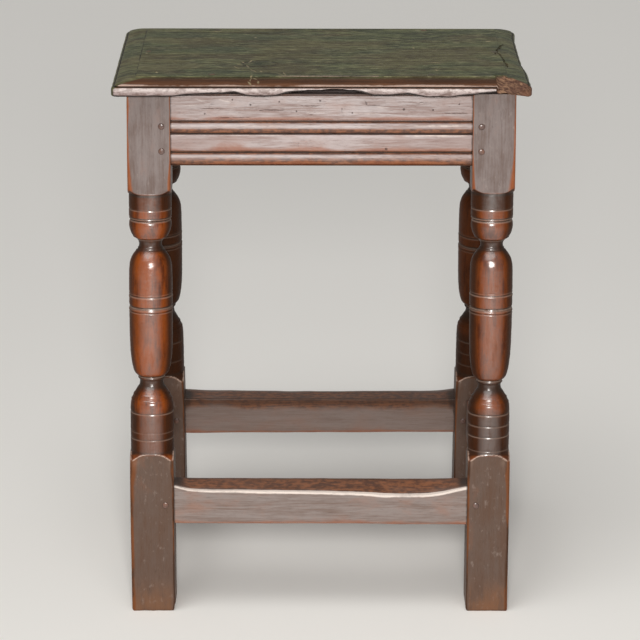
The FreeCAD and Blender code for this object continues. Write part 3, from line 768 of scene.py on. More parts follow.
def leg_shell(side, back, habit, shape, seed):
    """A leg as distance from its axis by angle and height. On the blocks it is the square with rubbed arrises, on the
    turning the turned radius less the scored lines, and at the shoulders the smaller of the two."""
    fine = np.arange(LOWER_SHOULDER - 8, UPPER_SHOULDER + 8, 0.7)
    ends = np.concatenate([[0, 0.5, 1.2, 2.2, 3.6], np.linspace(6, LOWER_SHOULDER - 9, 30)])
    heads = np.concatenate([np.linspace(UPPER_SHOULDER + 9, LEG_LENGTH - 3, 20), [LEG_LENGTH - 1, LEG_LENGTH]])
    height = np.concatenate([ends, fine, heads])[:, None]
    quarter = np.linspace(-1, 1, 33)[:-1]
    angle = (np.sin(quarter * math.pi / 2) * math.pi / 4 + np.arange(4)[:, None] * math.pi / 2).reshape(1, -1)
    across = stacked(height * 0.14, np.cos(angle) * 12, np.sin(angle) * 12)
    rough = lattice_noise(across, 2.4, seed)
    low = smoothstep(LOWER_SHOULDER + 30, LOWER_SHOULDER - 20, height)
    rubbed = bump(height, UPPER_SHOULDER + 4, 26) * 1.6 + bump(height, LOWER_SHOULDER - 4, 20) * 1.3 + low * 0.6
    rounding = shape.arris_round / MM * (0.55 + rubbed) * (1 + 0.45 * rough)
    square = block_radius(angle, LEG / 2, np.clip(rounding, 0.4, 7))
    strays, drum_lines, girth = (np.array(part) for part in habit[:3])
    shaded = habit[3]
    pattern = height - flowing(height, strays[:, 0], strays[:, 1])
    shoulder_up = UPPER_SHOULDER + strays[-1, 1]
    marks = [(pattern, *line) for line in SCORING] + [(height, *line, LINE_WIDTH) for line in drum_lines]
    lines = sum(depth * bump(at, level, width) for at, level, depth, width in marks) * shape.scoring / MM
    lathe = flowing(pattern, TURNING[:, 0], TURNING[:, 1])
    uneven = 1 + 0.5 * lattice_noise(across, 3.0, seed + 5)
    turned = lathe - lines * np.where(lines > 0, uneven, 1) + 0.09 * lattice_noise(across * [9, 1, 1], 2.0, seed + 9)
    corner = LEG / math.sqrt(2) + 0.4
    open_top, open_foot = (
        TURNED_RADIUS + (np.maximum(past, 0) / cut) ** 0.625 * (corner - TURNED_RADIUS)
        for past, cut in ((height - shoulder_up, UPPER_CUT), (LOWER_SHOULDER - height, LOWER_CUT)))
    turned = np.where(height > shoulder_up, open_top, np.where(height < LOWER_SHOULDER, open_foot, turned))
    soft = 0.35
    mix = np.clip(0.5 + 0.5 * (turned - square) / soft, 0, 1)
    radius = square * mix + turned * (1 - mix) - soft * mix * (1 - mix)
    foot = np.maximum(0, 1 - height / 2.6) ** 2
    radius = radius - foot * 1.3 * (1 + 0.5 * rough) + 0.06 * lattice_noise(across * [2, 1, 1], 1.2, seed + 3)
    if not back and side < 0:
        chip = bump(angle, math.radians(-30), 0.2) * bump(height, 0, 7)
        radius = radius - 2.4 * chip * (1 + 0.6 * rough)
    between = (smoothstep(LOWER_SHOULDER - 2, LOWER_SHOULDER + 0.5, height)
               * smoothstep(shoulder_up + 2, shoulder_up - 0.5, height))
    cut = np.clip((square - turned) / 1.5, 0, 1)
    is_turned = np.maximum(between, cut)
    wider = flowing(height, girth[:, 0], girth[:, 1])
    across_share = 1 + wider / LEG
    x = side * (FRAME_HALF - LEG / 2 + wider / 2) + radius * across_share * np.cos(angle)
    y = LEG / 2 + radius * (1 + (across_share - 1) * is_turned) * np.sin(angle)
    start = y * math.tan(LEAN) * np.clip(1 - height / 60, 0, 1)
    stop = y * math.tan(LEAN) * np.clip((height - LEG_LENGTH + 60) / 60, 0, 1)
    rings = leaned(stacked(x, y, height + start + stop), back)
    arris_gap = LEG / 2 * (1 - np.tan(angle_from_face(angle)))
    outward = smoothstep(0.0, 0.7, side * np.cos(angle))
    wear_width = 0.9 + 1.3 * outward + (1.5 + 1.3 * outward) * rubbed + 0.8 * rough
    wear = (np.exp(-(arris_gap / np.maximum(wear_width, 0.5)) ** 2) * (1 - is_turned)
            * (0.75 + 0.25 * np.minimum(rubbed, 1)))
    wear = np.maximum(wear, is_turned * smoothstep(18.5, 21.2, radius) * 0.8)
    hollow = smoothstep(17.5, 12.2, radius)
    near_line = sum(np.clip(depth, 0, 1.3) * bump(at, level, width * 1.15) for at, level, depth, width in marks)
    shoulder = bump(height, shoulder_up - 1.0, 2.2) + bump(height, LOWER_SHOULDER + 1.0, 2.2) * 0.6
    # Dark wax and soiling in the hollows, lines and shoulders, and painted shade added on the back legs' turnings
    grime_and_shade = is_turned * (hollow * 0.8 + near_line * 0.9 + shoulder * 0.8 + bump(pattern, 418.5, 2.2) * 0.25)
    grime_and_shade = np.clip(np.clip(grime_and_shade, 0, 1) + 0.12 * back * is_turned, 0, 1)
    # Painted highlights on the arc of the lower shoulders and on the lips under the scored lines, dimmer on the back
    # legs
    on_face = smoothstep(0.5, 4.0, arris_gap) * smoothstep(LOWER_SHOULDER + 1.2, LOWER_SHOULDER - 0.4, height)
    pale = 4 * cut * (1 - cut) * bump(height, LOWER_SHOULDER - 4, 7) * 1.5 * on_face
    pale = pale + 4 * wear * (1 - wear) * bump(height, LOWER_SHOULDER - 9, 5) * 0.15
    under_lines = sum(np.clip(depth, 0, 1) * bump(at, level - 0.95, width * 0.9) for at, level, depth, width in marks)
    pale = pale + is_turned * under_lines * (0.22 if back else 0.45)
    # Painted shade on the turnings: deeper the further a face turns from the front and outer side, deepened on some
    # legs, with the darker bands of the collars and drums
    facing = np.maximum(-np.sin(angle), 0.56 * side * np.cos(angle))
    sheen = is_turned * smoothstep(0.78, 1.0, -np.sin(angle)) * (1 - 0.4 * hollow)
    under_shoulder = smoothstep(LOWER_SHOULDER + 1, LOWER_SHOULDER - 3, height)
    low_band = smoothstep(224, 208, pattern) * (0.5 - 0.6 * under_shoulder)
    band = smoothstep(426, 431, pattern) * 0.55 + low_band + bump(pattern, 240, 8) * 0.3
    side_shade_and_bands = is_turned * np.clip(0.04 + shaded + band + 0.96 * smoothstep(0.97, 0.3, facing), 0, 1.1)
    grain = stacked(height, radius * np.cos(angle) + seed * 91, radius * np.sin(angle) + seed * 57)
    return Shell(rings, grain, wear=wear, grime_and_shade=grime_and_shade, turned=is_turned, pale=np.clip(pale, 0, 1), brown=side_shade_and_bands,
                 sheen=sheen)


class STOOL_OT_legs(Operator):
    """Makes the four leaning legs with their turnings, scored lines and rubbed blocks"""

    bl_idname = "stool.legs"
    bl_label = "Legs"

    def execute(self, context):
        scene = context.scene
        material = turned_oak("leg_oak", scene.stool_finish)
        for number, (end, (hand, side)) in enumerate((end, hand) for end in ENDS for hand in HANDS):
            back = end == "back"
            shell = leg_shell(-side if back else side, back, HABITS[end + "_" + hand], scene.stool_shape, number + 1)
            node = "leg_" + end + "_" + hand
            make_piece("turned_" + node, [shell], material, [node], sharp=60)
        return {"FINISHED"}


# Rails

def bar_grain(along, height, deep, seed):
    """The grain of a bar lies along it, and each bar is cut from its own place in the tree."""
    return stacked(along + seed * 400, height, deep + seed * 40)


def long_tenons(low, high, back, seed):
    """The two tenons of a long bar between two heights, from a little behind its shoulders to their ends in the
    legs."""
    shells = []
    for side in (-1, 1):
        near, far = sorted((side * (CLEAR_HALF - TENON_LAP), side * (CLEAR_HALF + TENON_REACH)))
        tenon, grain = box_shell((near, TENON_NEAR, low), (far, TENON_FAR, high), seed)
        shells.append(Shell(leaned(tenon, back), grain))
    return shells


def planed(along, deep, height, seed, chatter=0.0):
    """A rail's depths with its outer face a little uneven, as a moulding plane run by hand leaves it."""
    place = stacked(along, deep * 3, height * 2)
    wander = 0.16 * lattice_noise(place, 26, seed) + chatter * lattice_noise(place, 7, seed + 4)
    return np.where(deep < 8, np.maximum(deep + wander + 0.1, 0), deep)


def bead(low, high, deep):
    """A bead's section from one quirk to the other, a low half ellipse: deep * (1 - sqrt(1 - u * u)) for u from -1 to
    1."""
    u = np.sin(np.linspace(-1, 1, 13) * math.pi / 2)
    return np.stack([deep * (1 - np.sqrt(1 - 0.999 * u * u)), low + (high - low) * (u + 1) / 2], axis=-1)


def rail_corners(chamfer):
    """A rail's section as (depth behind the outer face, height): beads and bands outside, plain inside."""
    face = np.concatenate([
        [(0.9, 0.0), (0.6, 0.5)], bead(0.7, 12.9, 2.9),
        [(3.2, 13.1), (3.0, 14.3), (0.5, 15.1), (0.0, 15.9), (0.0, 31.2), (0.45, 31.9), (2.9, 32.2), (3.2, 32.8)],
        bead(33.0, 44.5, 3.0), [(3.3, 44.8), (2.9, 45.9), (0.6, 46.9), (0.0, 47.8)],
        [(0.0, RAIL_HEIGHT - 0.1 - chamfer), (chamfer, RAIL_HEIGHT + 0.1), (chamfer + 1.5, RAIL_HEIGHT + 0.2)]])
    inside = [(RAIL_THICK, RAIL_HEIGHT + 1.8), (RAIL_THICK, 0.0)]
    return np.concatenate([face, inside])


def rail_masks(height, deep, along, seed):
    """Rubbed, brown, bright and soiled parts of a rail's outer face by height. The flats' lower arrises are rubbed, the
    undersides of the beads and the coves between get brown painted shade, the band's upper arris and the beads' upper
    halves get painted highlights, the quirks are soiled, and the top under the seat gets painted shadow."""
    outside = deep < 8
    patchy = 0.85 + 0.5 * ripple(along + seed * 50, 38, seed)
    tips = smoothstep(60, 150, np.abs(along)) * 0.3
    shade = tips * 1.6 + smoothstep(15, 17, height) * smoothstep(31, 29, height) * 0.4
    wear = (bump(height, 2.6, 3.0) * 0.85 + bump(height, 16.6, 1.7) * 0.95 + bump(height, 22.0, 6.0) * 0.42
            + bump(height, 47.6, 1.4) + bump(height, 50.5, 2.5) * (0.25 + tips) + bump(height, 39.0, 5.0) * tips)
    # Brown painted shade under the beads and in the coves, and a tan line on the top chamfer
    brown = (bump(height, 14.2, 1.7) + bump(height, 35.1, 3.5) + bump(height, 44.6, 1.5) + bump(height, 1.6, 2.4) * 0.9
             + bump(height, 5.8, 4.5) * 0.6 + bump(height, 12.2, 1.2) * 0.6
             + bump(height, RAIL_HEIGHT - 1.4, 0.6) * 0.8)
    # Painted highlights on the band's upper arris and the upper halves of the beads
    bright = bump(height, 31.2, 0.8) * 0.7 + bump(height, 9.6, 1.7) * 0.3 + bump(height, 41.0, 1.8) * 0.55
    # Soiling in the quirks, and painted shadow on the top under the seat
    dirt_and_shade = (bump(height, 0.1, 0.7) * 0.8 + bump(height, 13.3, 0.8) * 0.9 + bump(height, 32.6, 0.9)
            + bump(height, 45.2, 0.8) * 0.85 + bump(height, RAIL_HEIGHT - 2.2, 0.45) * 0.85
            + smoothstep(RAIL_HEIGHT - 1.1, RAIL_HEIGHT - 0.4, height))
    bright = bright * (0.7 + 0.5 * ripple(along, 60, seed + 1))
    masks = {"wear": wear * patchy, "brown": brown, "pale": bright, "grime_and_shade": dirt_and_shade, "shade": shade}
    return {name: np.clip(mask * outside, 0, 1) for name, mask in masks.items()}


def long_rail_shells(back, seed):
    """A long rail's section carried along X between its shoulders, hand-planed: it wanders a little in depth. Cut level
    on top."""
    along = np.linspace(-CLEAR_HALF, CLEAR_HALF, 110)[:, None]
    corners = rail_corners(1.2 if back else 2.2)
    outline, _ = eased_outline(np.broadcast_to(corners, (len(along),) + corners.shape), 0.35, 3, 2)
    height = outline[..., 1]
    deep = planed(along, outline[..., 0], height, seed, 0.06)
    masks = rail_masks(height, deep, along, seed)
    rings = leaned(stacked(along, deep + RAIL_SET_BACK, RAIL_FOOT + height), back)
    rings[..., 2] = np.minimum(rings[..., 2], FRAME_TOP)
    masks["grime_and_shade"] = np.maximum(masks["grime_and_shade"], smoothstep(CLEAR_HALF - 2.0, CLEAR_HALF, np.abs(along)) * 0.85)
    shells = [Shell(rings, bar_grain(along, height, deep, seed), **masks)]
    return shells + long_tenons(RAIL_FOOT + TENON_EDGE, RAIL_FOOT + RAIL_TENON_TOP, back, seed)


def inner_line(height):
    """How far from the middle the inner face of a leaning leg is at that height: foot - height * tan."""
    foot = -FOOT_FRONT - LEG / math.cos(LEAN)
    return foot - height * math.tan(LEAN)


def side_bar_shells(side, outline, masks, foot, tenon_top, seed):
    """A side rail or stretcher: its section carried along Y, each ring slid so that the ends meet the leaning legs."""
    deep, height = outline[..., 0], outline[..., 1]
    level = foot + height
    half = inner_line(level)
    along = np.linspace(-1, 1, outline.shape[0])[:, None] * half
    x = side * (FRAME_HALF - RAIL_SET_BACK - deep)
    masks["grime_and_shade"] = np.maximum(masks["grime_and_shade"], smoothstep(0.98, 1.0, np.abs(along) / half) * 0.85)
    shells = [Shell(stacked(x, along, level), bar_grain(along, height, deep, seed), **masks)]
    steps = np.array([-TENON_LAP, 1 - TENON_LAP, TENON_REACH - 1, TENON_REACH])[:, None]
    corners = np.array([[TENON_NEAR, TENON_EDGE], [TENON_FAR, TENON_EDGE], [TENON_FAR, tenon_top],
                        [TENON_NEAR, tenon_top]])
    section, _ = eased_outline(corners, 0.6, 3, 1)
    for end in (-1, 1):
        y = end * (inner_line(foot + section[:, 1]) + steps)
        rings = stacked(side * (FRAME_HALF - section[:, 0]), y, foot + section[:, 1])
        shells.append(Shell(rings, rings + [0, seed * 30, 0]))
    return shells


def side_rail_shells(side, seed):
    """A side rail, moulded as the long ones and cut level on top."""
    corners = rail_corners(1.0)
    corners[:, 1] = np.minimum(corners[:, 1], RAIL_HEIGHT)
    corners[-4, 1] = RAIL_HEIGHT - 0.8
    outline, _ = eased_outline(np.broadcast_to(corners, (70,) + corners.shape), 0.3, 3, 2)
    along = np.linspace(-80, 80, 70)[:, None]
    outline[..., 0] = planed(along, outline[..., 0], outline[..., 1], seed)
    masks = rail_masks(outline[..., 1], outline[..., 0], along, seed)
    return side_bar_shells(side, outline, masks, SIDE_RAIL_FOOT, RAIL_TENON_TOP, seed)


class STOOL_OT_rails(Operator):
    """Makes the four moulded rails under the seat"""

    bl_idname = "stool.rails"
    bl_label = "Rails"

    def execute(self, context):
        finish = context.scene.stool_finish
        material = squared_oak("rail_oak", finish, finish.rail, finish.rail_dark, 0.42, marked=True)
        for number, end in enumerate(ENDS):
            shells = long_rail_shells(end == "back", number + 11)
            make_piece("moulded_rail_" + end, shells, material, ["rail_" + end], sharp=50)
        for number, (hand, side) in enumerate(HANDS):
            shells = side_rail_shells(side, number + 13)
            make_piece("moulded_rail_" + hand, shells, material, ["rail_" + hand], sharp=50)
        return {"FINISHED"}


# Stretchers

BACK_WEAR = 3.0


def long_stretcher_shells(back, shape, seed):
    """A four-sided bar between the legs. Its outer upper arris is worn to a hollow by feet, steep near the legs and
    long and flat between, and its inner upper arris much less."""
    along = np.linspace(-CLEAR_HALF, CLEAR_HALF, 120)
    depth = BACK_WEAR if back else shape.foot_wear / MM
    knots = np.array([-153, -146, -133, -115, -74, 9, 50, 69, 90, 112, 126, 140, 153])
    worn = np.array([0.17, 0.36, 0.60, 0.69, 0.75, 0.85, 1.02, 1.12, 1.14, 1.08, 0.87, 0.5, 0.17]) * depth
    if back:
        worn = worn[::-1]
    hollow = flowing(along, knots * CLEAR_HALF / 153, worn) + 0.25 * ripple(along, 17, seed)
    inner = 0.12 * hollow + 0.4
    tilt = hollow * 0.18
    slip = (1 - along / CLEAR_HALF) / 2
    hollow = hollow + 0.6 - slip
    low = 0.35 * ripple(along, 45, seed + 2) + 0.35 + 1.5 * slip
    across = stacked(0.0, 0.2, tilt * 0.6 + 1.2, STRETCHER_THICK - 0.1, STRETCHER_THICK - 0.1)
    up = stacked(low, STRETCHER_HEIGHT - hollow - 0.5, STRETCHER_HEIGHT - hollow * 0.97, STRETCHER_HEIGHT - inner, low)
    cuts = stacked(1.0, 0.9 + 0.03 * hollow, 1.3 + 0.09 * hollow, 1.4, 1.0)
    outline, gaps = eased_outline(stacked(across, up), cuts, 6, 5)
    deep, height = outline[..., 0], outline[..., 1]
    along = along[:, None]
    place = stacked(along, deep, height)
    deep = np.clip(deep + 0.14 * lattice_noise(place, 15, seed + 6), 0.02, STRETCHER_THICK)
    height = np.clip(height + 0.12 * lattice_noise(place, 12, seed + 7), 0, STRETCHER_HEIGHT)
    upper = smoothstep(STRETCHER_HEIGHT - 20, STRETCHER_HEIGHT - 12, height)
    edge = np.exp(-(gaps / (3.8 - 2.3 * upper)) ** 2)
    on_top = smoothstep(STRETCHER_HEIGHT - 14, STRETCHER_HEIGHT - 10, height) * smoothstep(2.5, 5.5, deep)
    # Painted highlight on the outer upper arris, over its pale worn wood
    bright = np.exp(-(gaps / 0.8) ** 2) * upper * smoothstep(9, 5, deep) * (0.95 + 0.3 * ripple(along, 30, seed + 1))
    # Painted shade on the top near both ends and along its back edge, with soiling at the joints
    ends = smoothstep(CLEAR_HALF - 18, CLEAR_HALF - 2, np.abs(along))
    grime_and_shade = np.maximum(ends * on_top * 0.9, smoothstep(CLEAR_HALF - 1.8, CLEAR_HALF, np.abs(along)) * 0.8)
    grime_and_shade = np.maximum(grime_and_shade, smoothstep(STRETCHER_THICK - 12, STRETCHER_THICK, deep) * on_top * 0.6)
    # The back stretcher gets painted shade all over and a dimmer painted highlight
    masks = {"brown": on_top * (0.85 + 0.2 * ripple(along, 40, seed)), "wear": edge * (0.85 - 0.6 * upper),
             "pale": bright * (0.35 if back else 1.0), "shade": 0.65 if back else 0.0, "grime_and_shade": grime_and_shade}
    rings = leaned(stacked(along, deep + RAIL_SET_BACK, STRETCHER_LIFT + height), back)
    shells = [Shell(rings, bar_grain(along, height, deep, seed), **masks)]
    return shells + long_tenons(STRETCHER_LIFT + TENON_EDGE, STRETCHER_LIFT + STRETCHER_TENON_TOP, back, seed)


def side_stretcher_shells(side, seed):
    """A side stretcher: a plain bar with rubbed arrises."""
    along = np.linspace(-110, 110, 60)[:, None]
    top = STRETCHER_HEIGHT - (0.8 + 0.5 * ripple(along[:, 0], 40, seed))
    corners = stacked([0.0, 0.0, STRETCHER_THICK, STRETCHER_THICK], stacked(0.0, top, STRETCHER_HEIGHT, 0.0))
    outline, gaps = eased_outline(corners, [1.0, 2.2, 1.6, 1.0], 5, 5)
    place = stacked(along, outline[..., 0], outline[..., 1])
    outline[..., 0] = np.clip(outline[..., 0] + 0.14 * lattice_noise(place, 15, seed), 0.0, STRETCHER_THICK)
    masks = {"wear": np.exp(-(gaps / 2.0) ** 2) * 0.7, "grime_and_shade": 0.0}
    return side_bar_shells(side, outline, masks, STRETCHER_LIFT, STRETCHER_HEIGHT - TENON_EDGE, seed)


class STOOL_OT_stretchers(Operator):
    """Makes the four low stretchers, the long ones worn by feet"""

    bl_idname = "stool.stretchers"
    bl_label = "Stretchers"

    def execute(self, context):
        scene = context.scene
        finish = scene.stool_finish
        material = squared_oak("stretcher_oak", finish, finish.stretcher, finish.stretcher_dark, 0.42, 0.5)
        for number, end in enumerate(ENDS):
            shells = long_stretcher_shells(end == "back", scene.stool_shape, number + 21)
            make_piece("worn_stretcher_" + end, shells, material, ["stretcher_" + end], sharp=50)
        for number, (hand, side) in enumerate(HANDS):
            shells = side_stretcher_shells(side, number + 23)
            make_piece("plain_stretcher_" + hand, shells, material, ["stretcher_" + hand], sharp=50)
        return {"FINISHED"}


# Pegs

def peg_shell(start, direction, long, radius, dome, seed):
    """A riven peg as distance from its axis by angle and length: eight shaved flats, worn round, with domed ends."""
    direction = np.array(direction, float)
    direction /= np.linalg.norm(direction)
    aside = np.cross(direction, [0.0, 0.0, 1.0] if abs(direction[2]) < 0.8 else [1.0, 0.0, 0.0])
    aside /= np.linalg.norm(aside)
    other = np.cross(direction, aside)
    size = np.sin(np.linspace(0, math.pi / 2, 6))[1:]
    inset = dome - dome * np.sqrt(np.maximum(1 - size ** 2, 0))
    along = np.concatenate([inset, [dome + 1.0, long / 2, long - dome - 1.0], (long - inset)[::-1]])[:, None]
    size = np.concatenate([size * 0.99, [1, 1, 1], (size * 0.99)[::-1]])[:, None]
    angle = np.linspace(0, 2 * math.pi, 24, endpoint=False)[None, :]
    flats = 1 - 0.035 * (1 - np.cos(8 * angle + seed)) - 0.03 * np.cos(2 * angle + seed * 1.7)
    reach = radius * size * flats
    right, up = reach * np.cos(angle), reach * np.sin(angle)
    rings = np.array(start) + along[..., None] * direction + right[..., None] * aside + up[..., None] * other
    rim = smoothstep(0.8, 0.97, size)
    proud = smoothstep(0.4, 0.0, np.minimum(along, long - along) / dome)
    return Shell(rings, stacked(along, right + seed * 13, up + seed * 7), wear=(1 - rim) * 0.4,
                 grime_and_shade=rim * 0.95 - 0.2 * proud)


def long_peg_shells(levels, back, dome, seed):
    """Pegs through the legs of a long frame, in from its outer face."""
    shells = []
    for number, (side, level) in enumerate((s, l) for s in (-1, 1) for l in levels):
        x = side * (CLEAR_HALF + PEG_INSET)
        ends = leaned(np.array([[x, -PEG_PROUD, level], [x, LEG + PEG_PROUD, level]]), back)
        shells.append(peg_shell(ends[0], ends[1] - ends[0], LEG + 2 * PEG_PROUD, PEG_RADIUS, dome, seed + number))
    return shells


def side_peg_shells(side, heights, dome, seed):
    """Pegs through both legs of one side, in from the side face, each at its height from the floor."""
    shells = []
    for number, (back, height) in enumerate((b, h) for b in (False, True) for h in heights):
        deep = LEG - PEG_INSET
        level = (height + deep * math.sin(LEAN)) / math.cos(LEAN)
        own = -side if back else side
        outside, inside = FRAME_HALF + PEG_PROUD, FRAME_HALF - LEG - PEG_PROUD
        ends = leaned(np.array([[own * outside, deep, level], [own * inside, deep, level]]), back)
        shells.append(peg_shell(ends[0], ends[1] - ends[0], LEG + 2 * PEG_PROUD, PEG_RADIUS, dome, seed + number))
    return shells


class STOOL_OT_pegs(Operator):
    """Makes the pegs of the joints and those that hold the seat"""

    bl_idname = "stool.pegs"
    bl_label = "Pegs"

    def execute(self, context):
        finish = context.scene.stool_finish
        dome = context.scene.stool_shape.peg_dome / MM
        material = squared_oak("peg_oak", finish, PEG_LIGHT, PEG_DARK, 0.34, 0.9, coat=0.3)

        def drive(name, shells):
            make_piece("driven_" + name, shells, material, [name], sharp=55)

        rail_levels = [RAIL_FOOT + RAIL_HEIGHT * part for part in RAIL_PEG_SHARES]
        stretcher_levels = [STRETCHER_LIFT + STRETCHER_HEIGHT * STRETCHER_PEG_SHARE]
        for number, end in enumerate(ENDS):
            back = end == "back"
            drive("rail_pegs_" + end, long_peg_shells(rail_levels, back, dome, 3 + 10 * number))
            drive("stretcher_pegs_" + end, long_peg_shells(stretcher_levels, back, dome, 7 + 10 * number))
        rail_heights = [SIDE_RAIL_FOOT + RAIL_HEIGHT * part for part in SIDE_RAIL_PEG_SHARES]
        stretcher_heights = [STRETCHER_LIFT + STRETCHER_HEIGHT * SIDE_STRETCHER_PEG_SHARE]
        for number, (hand, side) in enumerate(HANDS):
            drive("rail_pegs_" + hand, side_peg_shells(side, rail_heights, dome, 31 + 10 * number))
            drive("stretcher_pegs_" + hand, side_peg_shells(side, stretcher_heights, dome, 37 + 10 * number))
        set_in = RAIL_SET_BACK + RAIL_THICK * SEAT_PEG_SHARE
        depth_half = -FOOT_FRONT - LEAN_RUN - set_in
        long_places = [(x * SEAT_PEG_SPACING, y * depth_half) for x in (-1, 1) for y in (-1, 1)]
        side_places = [(x * (FRAME_HALF - set_in), 0.0) for x in (-1, 1)]
        low = SEAT_HIGH[2] / MM - SEAT_PEG_LENGTH
        waxed = squared_oak("seat_peg_oak", finish, SEAT_PEG_LIGHT, SEAT_PEG_DARK, 0.45, 0.9)
        for name, places in (("long", long_places), ("side", side_places)):
            shells = [peg_shell((x, y, low), (0, 0, 1), SEAT_PEG_LENGTH, SEAT_PEG_RADIUS, SEAT_PEG_DOME, 51 + seed)
                      for seed, (x, y) in enumerate(places)]
            make_piece("seat_pegs_" + name, shells, waxed, ["seat_pegs_" + name + "_rails"], sharp=55)
        return {"FINISHED"}


# Seat

# How high the broken lower edge climbs at the front, by x
BROKEN_EDGE = np.array([
    (-212, 0.3), (-170, 0.4), (-152, 0.5), (-141, 1.8), (-116, 3.6), (-101, 4.0), (-89, 5.3), (-81, 3.4), (-73, 1.4),
    (-60, 0.8), (-48, 1.2), (-41, 2.9), (-35, 5.0), (-21, 6.8), (-8, 9.0), (4, 10.9), (13, 12.0), (22, 11.0), (32, 8.2),
    (42, 5.2), (54, 2.2), (68, 2.2), (85, 3.7), (99, 1.4), (110, 0.2), (120, 0.4), (129, 0.0), (138, 1.5), (151, 3.0),
    (165, 4.9), (175, 5.8), (190, 6.2), (198, 4.4), (206, 1.2), (212, 0.6)])
# How much the front arris of the seat's field is rubbed, by x
FIELD_EDGE = np.array([
    (-212, 0.1), (-203, 0.9), (-175, 0.85), (-166, 0.45), (-150, 0.5), (-140, 0.15), (-92, 0.15), (-85, 0.55),
    (-62, 0.55), (-55, 0.2), (-46, 0.9), (55, 1.0), (62, 0.15), (132, 0.15), (140, 0.5), (185, 0.55), (200, 0.1)])


BACK_CORNER, FRONT_CORNER = 14.0, 6.5


def seat_columns():
    """Where each column of the seat's skin meets the outline, round the four corners and along the four sides: its
    share of the way along a side, its turn round the corner, and the signs of x and y at this corner and the next."""
    signs = np.array([(-1, -1), (1, -1), (1, 1), (-1, 1)], float)
    turns = np.array([1.0, 1.5, 2.0, 2.5]) * math.pi
    parts = []
    for here, ahead, turn, count in zip(signs, np.roll(signs, -1, axis=0), turns, (260, 110, 170, 110)):
        corner = np.linspace(0, 1, 12, endpoint=False)
        parts.append(stacked(0.0, turn + corner * math.pi / 2, *here, *here))
        parts.append(stacked(np.linspace(0, 1, count, endpoint=False), turn + math.pi / 2, *here, *ahead))
    return np.concatenate(parts)


